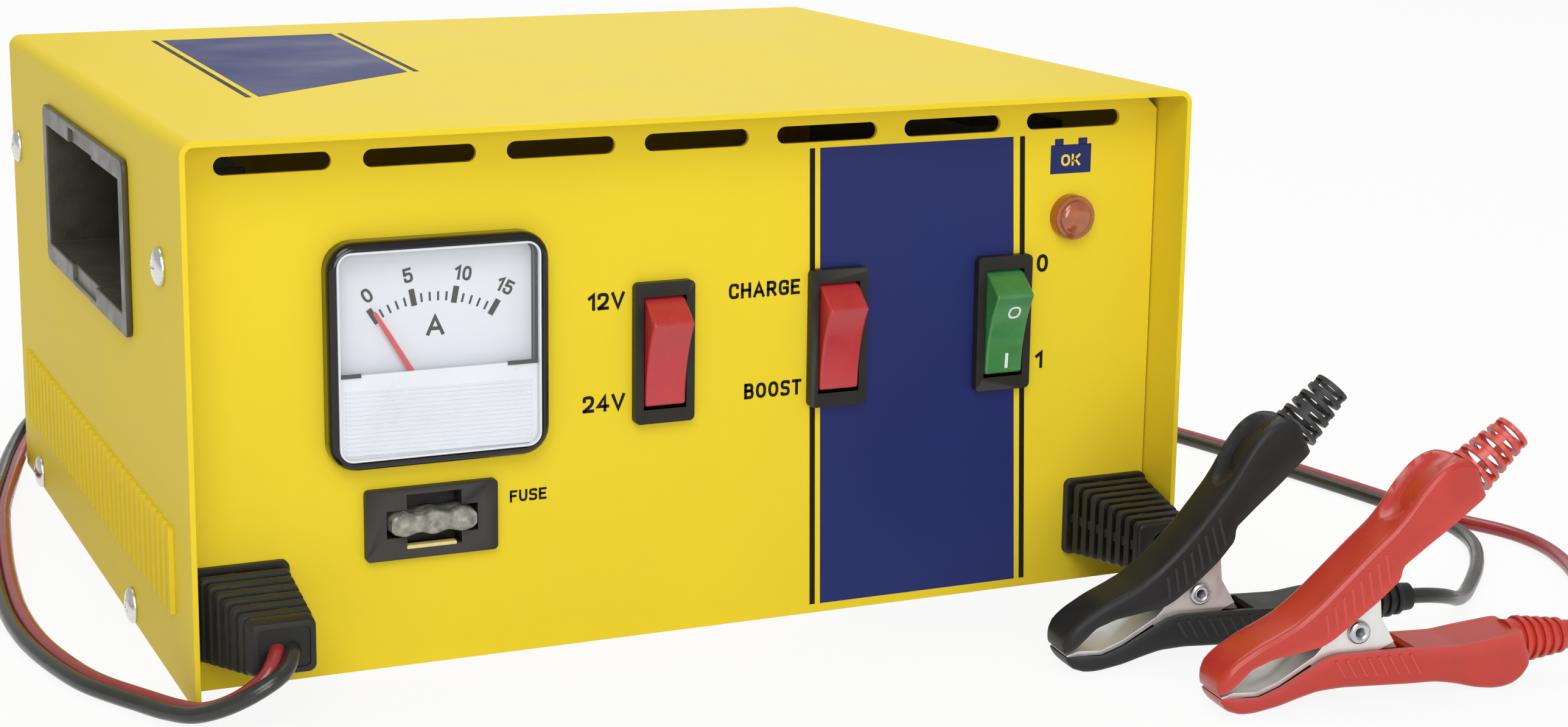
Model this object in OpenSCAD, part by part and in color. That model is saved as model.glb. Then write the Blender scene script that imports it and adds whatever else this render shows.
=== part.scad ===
// Workshop car battery charger: sheet steel case, panel meter, blade fuse, three rocker switches,
// transformer and rectifier inside, and a twin low-voltage lead that ends in two spring clamps.
// +Z is up and -Y is the front. The origin is the middle of the footprint, on the surface it stands on.

/* [Case] */
// Width of the cover
case_w = 230; // [226:1:240]
// Depth of the cover
case_d = 205; // [200:1:220]
// Height of the cover
case_h = 116; // [114:1:124]
// Thickness of the sheet steel
sheet = 1.2; // [0.8:0.1:1.5]
// Outer radius of the bends along the top of the cover
bend_r = 3; // [2:0.5:5]
// How far the cover stands out past the front panel
recess = 12; // [10:1:16]

/* [Vents] */
// Number of slots along the top of the front panel
slot_count = 7; // [3:1:7]
// Length of one slot
slot_w = 24.2; // [12:0.2:25]
// Height of one slot
slot_h = 3.8; // [3:0.1:5]
// Number of louvres in each side of the cover
louvre_count = 34; // [5:1:34]
// Height of one louvre
louvre_h = 18.5; // [10:0.5:20]

/* [Handle cups] */
// Length of a cup's flange
cup_l = 98; // [80:1:110]
// Height of a cup's flange
cup_h = 38.6; // [34:0.2:40]
// Depth of a cup behind the side of the cover
cup_depth = 26; // [20:1:30]

/* [Meter] */
// Width and height of the meter's frame
meter_s = 48; // [46:0.5:50]
// How far the meter stands out of the panel
meter_out = 4.5; // [4:0.1:6]

/* [Switches] */
// Width of a switch bezel
bezel_w = 13.8; // [13.4:0.1:15]
// Height of a switch bezel
bezel_h = 31; // [30:0.5:33]
// Tilt of a rocker either side of its middle
rocker_tilt = 15; // [10:0.5:16]

/* [Clamps] */
// Width of a clamp's plastic grip
clamp_w = 11.2; // [11:0.1:14]
// Angle of a clamp's centre line above the surface it lies on
clamp_lift = 20; // [20:0.5:22]

/* [Lead] */
// Diameter of one conductor with its insulation
wire_d = 3.4; // [3:0.1:3.6]
// Width across both conductors of the twin lead
twin_w = 6.6; // [6:0.1:7]
// Radius of the stored coil at the middle of its turns
coil_r = 36; // [34:1:38]

/* [Hidden] */

// Case planes
gland_reach = 22;
mains_reach = 27;
gland_over = gland_reach - recess;
front_y = -(case_d - gland_over) / 2;
back_y = front_y + case_d;
panel_y = front_y + recess;
rear_y = back_y - 3;
// Moves everything back, so that the origin is the middle of the footprint with the longer mains boot
centring_y = (mains_reach - gland_reach) / 2;
side_x = case_w / 2;
gap = 0.3;
fine = 48;

// Places on the front panel
slot_pitch = 30.85;
slot_shift = -1;
slot_z = case_h - 7;
meter_x = -60;
meter_z = 68.5;
fuse_x = -61.5;
fuse_z = 31.6;
rocker_x = [-9, 32.5, 74];
rocker_z = 63.6;
lamp_x = 91.4;
lamp_z = 86.8;
gland_x = side_x - 12;
gland_z = 15.7;

// Handle cup
cup_y = 2.5;
cup_z = 85.8;
cup_wall = 1.6;
cup_open_l = cup_l - 10;
cup_open_h = 29;
cup_proud = 1.4;

// Screw heads on the sides, as [y, z]
screw_at = [
    [front_y + 20, 88], [front_y + 195, 88],
    [front_y + 61.5, 4], [front_y + 180.5, 4]
];
screw_head_r = 4.1;
screw_head_t = 2;
screw_r = 1.9;

// Rocker switches
pivot_depth = 3;
rocker_r = 13;
rocker_w = 9.3;
rocker_face = 8.4;
face_hollow_r = 36;
face_hollow = 1.3;
pin_r = 1.2;
bezel_out = 2.2;

// Meter
needle_z = 55;
needle_rest = -31;
needle_len = 26;
meter_back = 6;
shield_h = 18.2;

// Clamp pivots, as [x, y, z], the turn of each clamp about Z, and the black upper grip's outward bend
pivot_z = 15;
black_at = [91.3, -140.7, pivot_z];
red_at = [107.3, -174.3, pivot_z];
clamp_turn = -6;
black_bend = 6;
grip_wall = 1.1;
cheek_t = 0.7;
outer_cheek = 4.1;
inner_cheek = 3.1;
rivet_r = 1.6;

// Half outline of a grip seen from its side: along the clamp from the pivot, and out from its centre line
grip_outer = [
    [-32.6, 0.5], [-32.7, 2.2], [-31.2, 4.5], [-27, 6.1], [-21.5, 7.1], [-17, 7.4], [-12.5, 7.9],
    [-7, 9.6], [7.5, 15.6], [13, 17.7], [17, 20], [21, 22.8], [25, 24.9], [29, 26], [32.4, 25.2],
    [34.8, 22.8]
];
grip_inner = [
    [34.8, 15.8], [20, 12.2], [7.5, 7.2], [-6, 2.2], [-9, 1.8], [-20, 3.5], [-24.9, 3.5], [-29, 1.8]
];
// The hollow inside a grip's side walls, open towards the other grip, and its roofed form behind the pivot
grip_hollow = [
    [-28, 2], [-24.5, 4], [-21.5, 5.2], [-12.5, 6.6], [-7, 8.3], [7.5, 14.2], [17, 18.2], [30, 20.6],
    [33.5, 18.6], [33.5, 10], [-9, 0.5]
];
roofed_hollow = [
    [-28, 2], [-24.5, 4], [-21.5, 5.2], [-12.5, 6.6], [-7, 8.3], [7.5, 14.2], [17, 18.2], [30, 20.6],
    [33.5, 18.6], [33.5, 16.2], [20, 13], [10, 9.4], [10, 4], [-9, 0.5]
];
// Mouth side of a jaw, from the tip to the pivot, and its sheet metal behind it
jaw_mouth = [[-32.4, 0.2], [-29.6, 0.3], [-24.9, 2.35], [-19.8, 2.4], [-9, 0.5], [-5, 0.4]];
jaw_back = [[-5, 1.4], [-9, 1.6], [-20, 3.4], [-24.9, 3.4], [-29, 1.8], [-32.4, 0.57]];
lower_cheek = [[-12, 1.4], [-9, 0], [-4.5, -3], [7.6, -7.6], [5.8, -0.5], [7, 5.6], [-4, 6.4], [-12, 2.4]];
upper_cheek = [
    [-12, 1.4], [-6, 0.4], [-4.4, 0], [-3, -3.2], [7.6, -7.6], [5.8, -0.5], [7, 5.6], [-4, 6.4], [-12, 2.4]
];

// Where the cable enters a clamp, along the clamp and out from its centre line
boot_end = [47.8, 24.4];
boot_base = [34, 19.4];

// Routes of the free lead, every point chosen by hand: x, y, z
front_route = [
    [-98.8, -104.5, 14.6], [-98.9, -107.5, 14.3], [-102, -112.2, 11.6], [-107, -112.6, 8.4],
    [-111.8, -110.2, 5.4],
    [-116.2, -105.6, 3], [-119.8, -99.4, 2], [-123.4, -93, 1.8], [-131.6, -78, 1.8],
    [-135.8, -64, 1.8], [-138.6, -48, 1.8], [-139.6, -31, 1.8], [-139, -13, 1.8], [-137, 10, 1.8],
    [-134, 34, 1.8], [-130, 60, 1.8], [-124, 86, 1.8], [-117.4, 112, 1.8], [-109.4, 138, 1.8],
    [-103, 154, 1.8], [-101, 164.5, 1.8]
];
coil_at = [-65, 164.5];
coil_turns = 3.25;
coil_pitch = 3.6;
back_route = [
    [-65, 200.5, 13.5], [-50, 200.2, 12], [-35, 199.6, 9], [-19, 198, 5.6], [-3, 194.6, 2.8],
    [14, 189, 1.8], [32, 181.4, 1.8], [50, 172.6, 1.8], [68, 162.4, 1.8], [86, 151, 1.8],
    [104, 138, 1.8], [122, 122.6, 1.8], [139, 105, 1.8], [154, 85, 1.8], [168, 62, 1.8],
    [179, 40, 1.8], [187, 20, 1.8], [192, 0, 1.8], [195.4, -19, 1.8], [198.6, -38, 1.8],
    [201.4, -56, 1.8], [203.6, -72, 1.8]
];
sleeve_y = [-72, -82];
red_route = [
    [206.8, -82, 1.8], [209.4, -88, 1.8], [212.2, -95, 1.8], [213.4, -103, 1.8], [212.4, -112, 1.8],
    [209, -122, 1.8], [204, -132, 1.8], [198, -142, 1.8], [192, -151.6, 1.8], [186.2, -161, 2],
    [181.4, -169.4, 2.8], [176.4, -176, 4.6], [170.8, -179.8, 6.6], [165.4, -180.4, 8.1],
    [160.2, -179.9, 8.4], [147.6, -178.5, 8.4], [135, -177.2, 8.4]
];
black_route = [
    [203.4, -82, 1.8], [202.8, -88, 1.8], [200.8, -96, 1.8], [197, -104, 1.8], [191, -112.4, 1.8],
    [184.4, -120, 1.8], [177, -127.4, 1.8], [169.6, -134.4, 2.2], [162.4, -140.6, 4], [155.8, -145, 6.6],
    [149.8, -146.8, 8.1], [144.2, -146.3, 8.4], [131.6, -144.9, 8.4], [119, -143.6, 8.4]
];

// ---------------------------------------------------------------- shared shapes

// A rectangle with round corners, about the origin
module round_rect(w, h, r) {
    square([w - 2 * r, h], center = true);
    square([w, h - 2 * r], center = true);
    for (sx = [-1, 1], sy = [-1, 1])
        translate([sx * (w / 2 - r), sy * (h / 2 - r)]) circle(r = r, $fn = fine);
}

// A plate that faces the front, with its front face at y = 0
module face_plate(w, h, r, t) {
    rotate([90, 0, 0]) translate([0, 0, -t]) linear_extrude(t) round_rect(w, h, r);
}

// A round bar along Y, starting at y = 0
module bar_y(r, l) {
    rotate([-90, 0, 0]) cylinder(r = r, h = l, $fn = fine);
}

// A slot with round ends, cut through a plate that faces the front
module slot_y(w, h, l) {
    translate([-(w - h) / 2, 0, -h / 2]) cube([w - h, l, h]);
    for (s = [-1, 1]) translate([s * (w - h) / 2, 0, 0]) bar_y(h / 2, l);
}

// Unit vector, and the flat ring of a tube's side points across the way it runs
function unit(v) = v / norm(v);
function way(p, i) = unit(p[min(i + 1, len(p) - 1)] - p[max(i - 1, 0)]);
function across(p, i) = unit(cross(way(p, i), [0, 0, 1]));
function ring(p, i, w, h, n) = [
    for (k = [0:n - 1])
        p[i] + across(p, i) * (w / 2 * cos(360 * k / n))
            + cross(across(p, i), way(p, i)) * (h / 2 * sin(360 * k / n))
];

// A tube of oval section along a route
module tube(p, w, h, n) {
    rings = len(p);
    points = [for (i = [0:rings - 1]) each ring(p, i, w, h, n)];
    walls = [for (i = [0:rings - 2], k = [0:n - 1])
        [i * n + k, i * n + (k + 1) % n, (i + 1) * n + (k + 1) % n, (i + 1) * n + k]];
    start = [[for (k = [n - 1:-1:0]) k]];
    end = [[for (k = [0:n - 1]) (rings - 1) * n + k]];
    polyhedron(points = points, faces = concat(walls, start, end), convexity = 6);
}

// ---------------------------------------------------------------- case

module cover_profile(w, h, r) {
    translate([-w / 2, 0]) square([w, h - r]);
    translate([-w / 2 + r, 0]) square([w - 2 * r, h]);
    for (s = [-1, 1]) translate([s * (w / 2 - r), h - r]) circle(r = r, $fn = fine);
}

louvre_pitch = 5.3;
louvre_w = 2.4;
louvre_proud = 0.4;
louvre_z = 15.5;
louvre_y = front_y + 17;

module cover() {
    color("gold") difference() {
        union() {
            translate([0, back_y, 0]) rotate([90, 0, 0]) linear_extrude(case_d) difference() {
                cover_profile(case_w, case_h, bend_r);
                translate([0, -1]) cover_profile(case_w - 2 * sheet, case_h - sheet + 1, bend_r - sheet);
            }
            for (s = [-1, 1], i = [0:louvre_count - 1])
                translate([s * (side_x + louvre_proud / 2) - sheet / 2 - louvre_proud / 2,
                        louvre_y + i * louvre_pitch, louvre_z])
                    cube([sheet + louvre_proud, louvre_w, louvre_h]);
        }
        for (s = [-1, 1]) {
            translate([s * side_x, cup_y, cup_z])
                cube([4 * sheet, cup_open_l + 2 * cup_wall + gap, cup_open_h + 2 * cup_wall + gap],
                    center = true);
            for (at = screw_at)
                translate([s * side_x, at[0], at[1]]) rotate([0, 90, 0])
                    cylinder(r = screw_r + 0.2, h = 6, center = true, $fn = fine);
            for (i = [0:louvre_count - 1])
                translate([s * side_x - sheet * 1.5, louvre_y + i * louvre_pitch + louvre_w, louvre_z + 1])
                    cube([sheet * 3, 0.9, louvre_h - 2]);
        }
    }
}

module panel_cutouts() {
    for (i = [0:slot_count - 1])
        translate([(i - (slot_count - 1) / 2) * slot_pitch + slot_shift, -2, slot_z])
            slot_y(slot_w, slot_h, 6);
    translate([meter_x, -4, meter_z]) face_plate(45.8, 45.8, 4.3, 8);
    for (x = rocker_x) translate([x, 0, rocker_z]) cube([12, 8, 28.4], center = true);
    translate([fuse_x, 0, fuse_z]) cube([23.6, 8, 13], center = true);
    translate([lamp_x, -2, lamp_z]) bar_y(4.2, 6);
    for (s = [-1, 1]) translate([s * gland_x, 0, gland_z]) cube([15, 8, 12], center = true);
}

flange = 12;
chassis_w = case_w - 2 * sheet - 0.6;
chassis_h = case_h - sheet - 0.4;
corner_cut = 4;

// An upright panel with its two top corners cut off, and its front face at y = 0
module panel_sheet() {
    x = chassis_w / 2;
    translate([0, sheet, 0]) rotate([90, 0, 0]) linear_extrude(sheet)
        polygon([
            [-x, 0], [x, 0], [x, chassis_h - corner_cut], [x - corner_cut, chassis_h],
            [corner_cut - x, chassis_h], [-x, chassis_h - corner_cut]
        ]);
}

module chassis() {
    x = chassis_w / 2;
    color("goldenrod") difference() {
        union() {
            translate([0, panel_y, 0]) panel_sheet();
            translate([0, rear_y - sheet, 0]) panel_sheet();
            translate([-x, panel_y, 0]) cube([chassis_w, rear_y - panel_y, sheet]);
            for (s = [-1, 1]) {
                translate([s * (x - sheet / 2), (panel_y + rear_y) / 2, 5])
                    cube([sheet, rear_y - panel_y, 10], center = true);
                for (y = [panel_y + flange / 2, rear_y - flange / 2])
                    translate([s * (x - sheet / 2), y, (chassis_h - corner_cut) / 2])
                        cube([sheet, flange, chassis_h - corner_cut], center = true);
            }
        }
        translate([0, panel_y, 0]) panel_cutouts();
        for (i = [0:slot_count - 1], z = [slot_z, slot_z - 12])
            translate([(i - (slot_count - 1) / 2) * slot_pitch + slot_shift, rear_y - 4, z])
                slot_y(slot_w, slot_h, 6);
        for (s = [-1, 1], at = screw_at)
            translate([s * x, at[0], at[1]]) rotate([0, 90, 0])
                cylinder(r = screw_r + 0.1, h = 6, center = true, $fn = fine);
    }
}

module cover_screws() {
    color("silver") for (s = [-1, 1], at = screw_at)
        translate([s * side_x, at[0], at[1]]) rotate([0, s * 90, 0]) difference() {
            union() {
                cylinder(r1 = screw_head_r, r2 = screw_head_r - 1, h = screw_head_t, $fn = fine);
                translate([0, 0, -6]) cylinder(r = screw_r, h = 6.5, $fn = fine);
            }
            for (a = [0, 90]) rotate(a)
                translate([0, 0, screw_head_t]) cube([3.4, 0.9, 1.8], center = true);
        }
}

// The carrying cup on the right-hand side; the left one is its mirror image
module handle_cup() {
    l = cup_open_l;
    h = cup_open_h;
    w = cup_wall;
    translate([side_x, cup_y, cup_z]) difference() {
        union() {
            rotate([90, 0, 90]) linear_extrude(cup_proud) round_rect(cup_l, cup_h, 2.5);
            translate([-cup_depth / 2 + 0.1, 0, 0])
                cube([cup_depth + 0.2, l + 2 * w, h + 2 * w], center = true);
        }
        translate([-cup_depth / 2 + w + 1, 0, 0]) cube([cup_depth + 2, l, h], center = true);
        for (s = [-1, 1]) translate([cup_proud, 0, s * (h / 2 + 1.7)]) cube([1.6, 28, 3.4], center = true);
    }
}

module handle_cup_right() color("dimgray") handle_cup();

module handle_cup_left() color("dimgray") mirror([1, 0, 0]) handle_cup();

// ---------------------------------------------------------------- meter

module meter_case() {
    color("black") translate([meter_x, panel_y, meter_z]) difference() {
        union() {
            translate([0, -meter_out, 0]) face_plate(meter_s, meter_s, 6, meter_out);
            face_plate(45.2, 45.2, 4, meter_back);
            bar_y(21.5, 28);
        }
        translate([0, -meter_out - 1, 0]) face_plate(44.2, 44.2, 3, meter_out + 1);
        translate([0, -1, 0]) face_plate(43.2, 43.2, 3, 2);
        translate([0, -1, 0]) bar_y(19.5, 27);
    }
}

module meter_dial() {
    color("white") translate([meter_x, panel_y + 0.4, meter_z]) difference() {
        face_plate(42.8, 42.8, 2.8, 0.6);
        translate([0, -1, needle_z - meter_z]) bar_y(2.4, 4);
    }
}

module meter_movement() {
    color("slategray") translate([meter_x, panel_y + 1, needle_z]) difference() {
        rotate([90, 0, 0]) translate([0, 0, -13]) linear_extrude(13) union() {
            circle(r = 4.5, $fn = fine);
            translate([-7, -2]) square([14, 18]);
        }
        translate([0, -2, 0]) bar_y(0.65, 20);
    }
}

module meter_needle() {
    color("crimson") translate([meter_x, panel_y - 1.5, needle_z]) {
        rotate([0, needle_rest, 0]) translate([-0.45, 0, -4]) cube([0.9, 0.5, needle_len + 4]);
        translate([0, -0.3, 0]) bar_y(1.8, 1.1);
        bar_y(0.6, 9);
    }
}

module meter_shield() {
    color("whitesmoke") translate([meter_x, panel_y - meter_out + 1.1, meter_z]) intersection() {
        face_plate(44, 44, 3, 0.8);
        translate([0, 0, shield_h / 2 - 22.1]) cube([50, 4, shield_h], center = true);
    }
}

module meter_window() {
    color("lightcyan", 0.4) translate([meter_x, panel_y - meter_out, meter_z])
        face_plate(44.1, 44.1, 3, 1.1);
}

// ---------------------------------------------------------------- fuse

module fuse_holder() {
    color("dimgray") translate([fuse_x, panel_y, fuse_z]) difference() {
        union() {
            translate([0, -1.6, 0]) face_plate(29, 15.4, 1, 1.6);
            translate([0, 8, 0]) cube([23.2, 16, 12.6], center = true);
        }
        translate([0, 0.2, 0]) cube([20, 8, 5.9], center = true);
        translate([0.4, 0.2, 0.4]) cube([12, 6, 11.6], center = true);
        for (s = [-1, 1]) translate([s * 7, 8, 0]) cube([5.9, 17, 1.4], center = true);
        translate([0, 4, 0]) cube([16.4, 11, 4.4], center = true);
    }
}

module fuse_body() {
    color("lightgray", 0.6) translate([fuse_x, panel_y, fuse_z]) difference() {
        union() {
            translate([0, -3.2, 0]) face_plate(19.1, 5.1, 1.2, 6);
            translate([0, 5, 0]) cube([15.4, 7, 3.6], center = true);
        }
        for (s = [-1, 1]) translate([s * 7, 6.5, 0]) cube([5.2, 6, 0.7], center = true);
    }
}

module fuse_blades() {
    color("silver") translate([fuse_x, panel_y, fuse_z])
        for (s = [-1, 1]) translate([s * 7, 9.3, 0]) cube([5.2, 11.6, 0.7], center = true);
}

// ---------------------------------------------------------------- switches and lamp

module rocker_bezel(x) {
    translate([x, panel_y, rocker_z]) difference() {
        union() {
            translate([0, -bezel_out, 0]) face_plate(bezel_w, bezel_h, 1.2, bezel_out);
            translate([0, 9, 0]) cube([11.6, 18, 28], center = true);
        }
        translate([0, pivot_depth, 0]) rotate([0, 90, 0]) {
            cylinder(r = rocker_r + 0.4, h = rocker_w + 0.6, center = true, $fn = fine);
            cylinder(r = pin_r + 0.05, h = 20, center = true, $fn = fine);
        }
    }
}

module rocker(x) {
    translate([x, panel_y + pivot_depth, rocker_z]) rotate([rocker_tilt, 0, 0]) {
        intersection() {
            rotate([0, 90, 0]) cylinder(r = rocker_r, h = rocker_w, center = true, $fn = fine);
            difference() {
                translate([-10, -rocker_face, -15]) cube([20, rocker_face + 1.5, 30]);
                translate([0, -rocker_face + face_hollow - face_hollow_r, 0]) rotate([0, 90, 0])
                    cylinder(r = face_hollow_r, h = 30, center = true, $fn = fine);
            }
        }
        rotate([0, 90, 0]) cylinder(r = pin_r, h = rocker_w + 1.8, center = true, $fn = fine);
    }
}

module voltage_bezel() color("darkslategray") rocker_bezel(rocker_x[0]);

module boost_bezel() color("darkslategray") rocker_bezel(rocker_x[1]);

module mains_bezel() color("darkslategray") rocker_bezel(rocker_x[2]);

module voltage_rocker() color("firebrick") rocker(rocker_x[0]);

module boost_rocker() color("firebrick") rocker(rocker_x[1]);

module mains_rocker() color("seagreen") rocker(rocker_x[2]);

module lamp_lens() {
    color("darkorange", 0.8) translate([lamp_x, panel_y, lamp_z]) difference() {
        union() {
            translate([0, -2.8, 0]) rotate([-90, 0, 0]) cylinder(r1 = 4.9, r2 = 5.2, h = 2.8, $fn = fine);
            translate([0, -4, 0]) rotate([-90, 0, 0]) cylinder(r1 = 4, r2 = 4.9, h = 1.2, $fn = fine);
            bar_y(4, 8);
        }
        translate([0, -1.5, 0]) bar_y(3, 12);
    }
}

module lamp_body() {
    color("gainsboro") translate([lamp_x, panel_y, lamp_z]) {
        translate([0, 8, 0]) bar_y(3.9, 10);
        translate([0, 0.5, 0]) bar_y(2.4, 8);
    }
}

// ---------------------------------------------------------------- cable glands

gland_rings = 6;

// A ribbed rubber boot that reaches out of the panel by reach. Its front end leans towards the middle
// of the panel by lean, and its foot is raised by lift
module gland(reach, lean, lift) {
    step = (reach - 1.6) / gland_rings;
    translate([0, -1.6, lift / 2]) face_plate(21.4, 18 + lift, 1.2, 1.6);
    translate([0, 5, 0]) cube([14.6, 10, 11.6], center = true);
    for (i = [0:gland_rings - 1]) {
        f = (i + 1) / gland_rings;
        w = 19.6 - 7 * f;
        h = 17.4 + lift - (7 + lift) * f;
        z = lift / 2 * (1 - f) - 0.9 * f;
        translate([lean * f, -1.6 - step * (i + 0.66), z]) cube([w, step * 0.68, h], center = true);
        translate([lean * f, -1.6 - step * (i + 0.25), z])
            cube([w - 1.8, step * 0.52, h - 1.8], center = true);
    }
}

module low_voltage_gland() {
    color("black") translate([-gland_x, panel_y, gland_z]) gland(gland_reach, 4.1, 1.8);
}

module mains_gland() {
    color("black") translate([gland_x, panel_y, gland_z]) difference() {
        gland(mains_reach, 0, 0);
        translate([0, -mains_reach - 2, -0.9]) bar_y(3.6, mains_reach + 14);
    }
}

// ---------------------------------------------------------------- works inside

core_at = [42, 12, 47];
core_w = 84;
core_h = 70;
core_t = 40;
window_w = 14;
window_h = 42;

module transformer_core() {
    color("dimgray") translate(core_at) difference() {
        cube([core_w, core_t, core_h], center = true);
        for (s = [-1, 1]) translate([s * 21, 0, 0]) cube([window_w, core_t + 2, window_h], center = true);
    }
}

// A square ring round the middle leg of the core
module leg_ring(outer_w, outer_t, h) {
    difference() {
        cube([outer_w, outer_t, h], center = true);
        cube([28, core_t, h + 1], center = true);
    }
}

module bobbin() {
    color("ivory") translate(core_at) {
        leg_ring(30.4, core_t + 2.4, 42);
        for (z = [-20.4, 20.4]) translate([0, 0, z]) leg_ring(54.6, core_t + 26, 1.2);
    }
}

module winding(z, h, proud) {
    translate(core_at + [0, 0, z]) difference() {
        cube([30.4 + proud, core_t + 2.4 + proud, h], center = true);
        cube([30.4, core_t + 2.4, h + 1], center = true);
    }
}

module primary_winding() color("peru") winding(-10.2, 18.4, 21);

module secondary_winding() color("chocolate") winding(9.8, 19, 22.5);

module transformer_bracket() {
    color("silver") translate([core_at[0], core_at[1], 0]) difference() {
        union() {
            for (s = [-1, 1]) translate([s * 47, 0, sheet + 1]) cube([14, core_t, 2], center = true);
            for (s = [-1, 1]) translate([s * 43, 0, 42.6]) cube([2, core_t, 82.8], center = true);
            translate([0, 0, 83]) cube([88, core_t, 2], center = true);
        }
        for (s = [-1, 1], y = [-12, 12])
            translate([s * 49, y, -1]) cylinder(r = 2.2, h = 10, $fn = fine);
    }
}

module heatsink() {
    color("lightgray") translate([-72, 58, sheet]) {
        cube([64, 44, 4]);
        for (i = [0:7]) translate([i * 8.8, 0, 0]) cube([2.4, 44, 24]);
    }
}

module rectifier() {
    color("black") translate([-42.8, 46.2, sheet]) {
        difference() {
            cube([28, 11.8, 28]);
            translate([14, -1, 14]) bar_y(2.2, 20);
        }
        for (x = [5, 11, 17, 23]) translate([x - 0.4, -9, 22]) cube([0.8, 9.5, 5]);
    }
}

board_at = [-100, -52, 16];

module circuit_board() {
    color("darkgreen") translate(board_at) difference() {
        cube([72, 54, 1.6]);
        for (x = [5, 67], y = [5, 49]) translate([x, y, -1]) cylinder(r = 1.6, h = 4, $fn = fine);
    }
}

module board_standoffs() {
    color("silver") translate(board_at) for (x = [5, 67], y = [5, 49]) translate([x, y, 0]) {
        translate([0, 0, sheet - board_at[2]]) cylinder(r = 3, h = board_at[2] - sheet, $fn = fine);
        translate([0, 0, -1]) cylinder(r = 1.5, h = 4.4, $fn = fine);
        translate([0, 0, 1.6]) cylinder(r = 2.8, h = 1.8, $fn = fine);
    }
}

module relay() {
    color("black") translate(board_at + [10, 16, 1.6]) cube([28, 20, 16]);
}

module capacitor() {
    color("midnightblue") translate(board_at + [54, 27, 1.6]) cylinder(r = 9, h = 26, $fn = fine);
}

module terminal_block() {
    color("whitesmoke") translate([gland_x - 22, panel_y + 24, sheet]) difference() {
        cube([30, 15, 14]);
        for (i = [0:2]) translate([5 + i * 10, 7.5, 6]) cylinder(r = 2, h = 10, $fn = fine);
    }
}

module chassis_bolts() {
    color("silver") {
        for (s = [-1, 1], y = [-12, 12]) translate([core_at[0] + s * 49, core_at[1] + y, sheet]) {
            cylinder(r = 2.1, h = 7, $fn = fine);
            translate([0, 0, 2]) cylinder(r = 3.8, h = 3.2, $fn = 6);
        }
        for (sx = [-1, 1], sz = [-1, 1])
            translate([core_at[0] + sx * 35, core_at[1] - core_t / 2 - 3, core_at[2] + sz * 28])
                bar_y(3.2, 3);
    }
}

// ---------------------------------------------------------------- lead

module twin_lead_front() color("darkred") tube(front_route, twin_w, wire_d, 10);

module twin_lead_back() color("darkred") tube(back_route, twin_w, wire_d, 10);

module twin_lead_coil() {
    color("darkred") translate([coil_at[0], coil_at[1], 0.1]) rotate_extrude($fn = fine)
        translate([coil_r - twin_w / 2 - 0.3, 0]) square([twin_w + 0.6, coil_pitch * (coil_turns + 0.75)]);
}

module coil_tie() {
    color("black") translate([coil_at[0] + coil_r, coil_at[1], 7.4]) difference() {
        cube([twin_w + 2.6, 5, 14.8], center = true);
        translate([0, 0, -0.3]) cube([twin_w + 0.6, 6, 14.8], center = true);
    }
}

module split_sleeve() {
    color("black") translate([203.9, sleeve_y[0], 1.9]) rotate([90, 0, 6])
        linear_extrude(sleeve_y[0] - sleeve_y[1]) scale([1, 0.5]) circle(r = 3.7, $fn = 12);
}

module red_tail() color("crimson") tube(red_route, wire_d, wire_d, 8);

module black_tail() color("black") tube(black_route, wire_d, wire_d, 8);

// ---------------------------------------------------------------- clamps

// Stands a clamp, drawn about its pivot with its tip at -X, where it lies
module clamp_place(at) {
    translate(at) rotate([0, 0, clamp_turn]) rotate([0, -clamp_lift, 0]) children();
}

module side_shape(w, points) {
    rotate([90, 0, 0]) translate([0, 0, -w / 2]) linear_extrude(w) polygon(points);
}

// A point of a grip after the grip's rear half is bent outwards by an angle
function bent(p, angle) =
    let(a = angle * min(1, max(0, (p[0] + 4) / 16)))
    [p[0] * cos(a) - p[1] * sin(a), p[0] * sin(a) + p[1] * cos(a)];

module grip_shell(hollow, bend) {
    difference() {
        side_shape(clamp_w, [for (p = concat(grip_outer, grip_inner)) bent(p, bend)]);
        side_shape(clamp_w - 2 * grip_wall, [for (p = hollow) bent(p, bend)]);
    }
}

// The direction of the strain relief at the end of a grip
boot_angle = atan2(boot_end[1] - boot_base[1], boot_end[0] - boot_base[0]);
boot_len = norm(boot_end - boot_base);

module upper_grip(bend) {
    grip_shell(grip_hollow, bend);
    // Open cage at the end: rings on four bars
    base = bent(boot_base, bend);
    translate([base[0], 0, base[1]]) rotate([0, 90 - boot_angle - bend, 0]) difference() {
        union() {
            for (i = [0:5]) translate([0, 0, 1.4 + i * 2.3])
                cylinder(r = 5.4 - i * 0.26, h = 1.1, $fn = fine);
            for (a = [0:90:270]) rotate(a) translate([3.2, -0.6, -1]) cube([1.1, 1.2, boot_len + 0.2]);
        }
        translate([0, 0, -2]) cylinder(r = 3.2, h = boot_len + 6, $fn = fine);
    }
}

module lower_grip() {
    mirror([0, 0, 1]) difference() {
        union() {
            grip_shell(roofed_hollow, 0);
            // Closed boot at the end: ribs on a tapered core
            translate([boot_base[0], 0, boot_base[1]]) rotate([0, 90 - boot_angle, 0]) {
                translate([0, 0, -1]) cylinder(r1 = 4.4, r2 = 3, h = boot_len + 1, $fn = fine);
                for (i = [0:4])
                    translate([0, 0, 1.4 + i * 2.3]) cylinder(r = 5 - i * 0.3, h = 1.2, $fn = fine);
            }
        }
        // The cable's way through the boot into the grip
        translate([boot_base[0], 0, boot_base[1]]) rotate([0, 90 - boot_angle, 0])
            translate([0, 0, -4]) cylinder(r = wire_d / 2 + 0.1, h = boot_len + 8, $fn = fine);
    }
}

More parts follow.
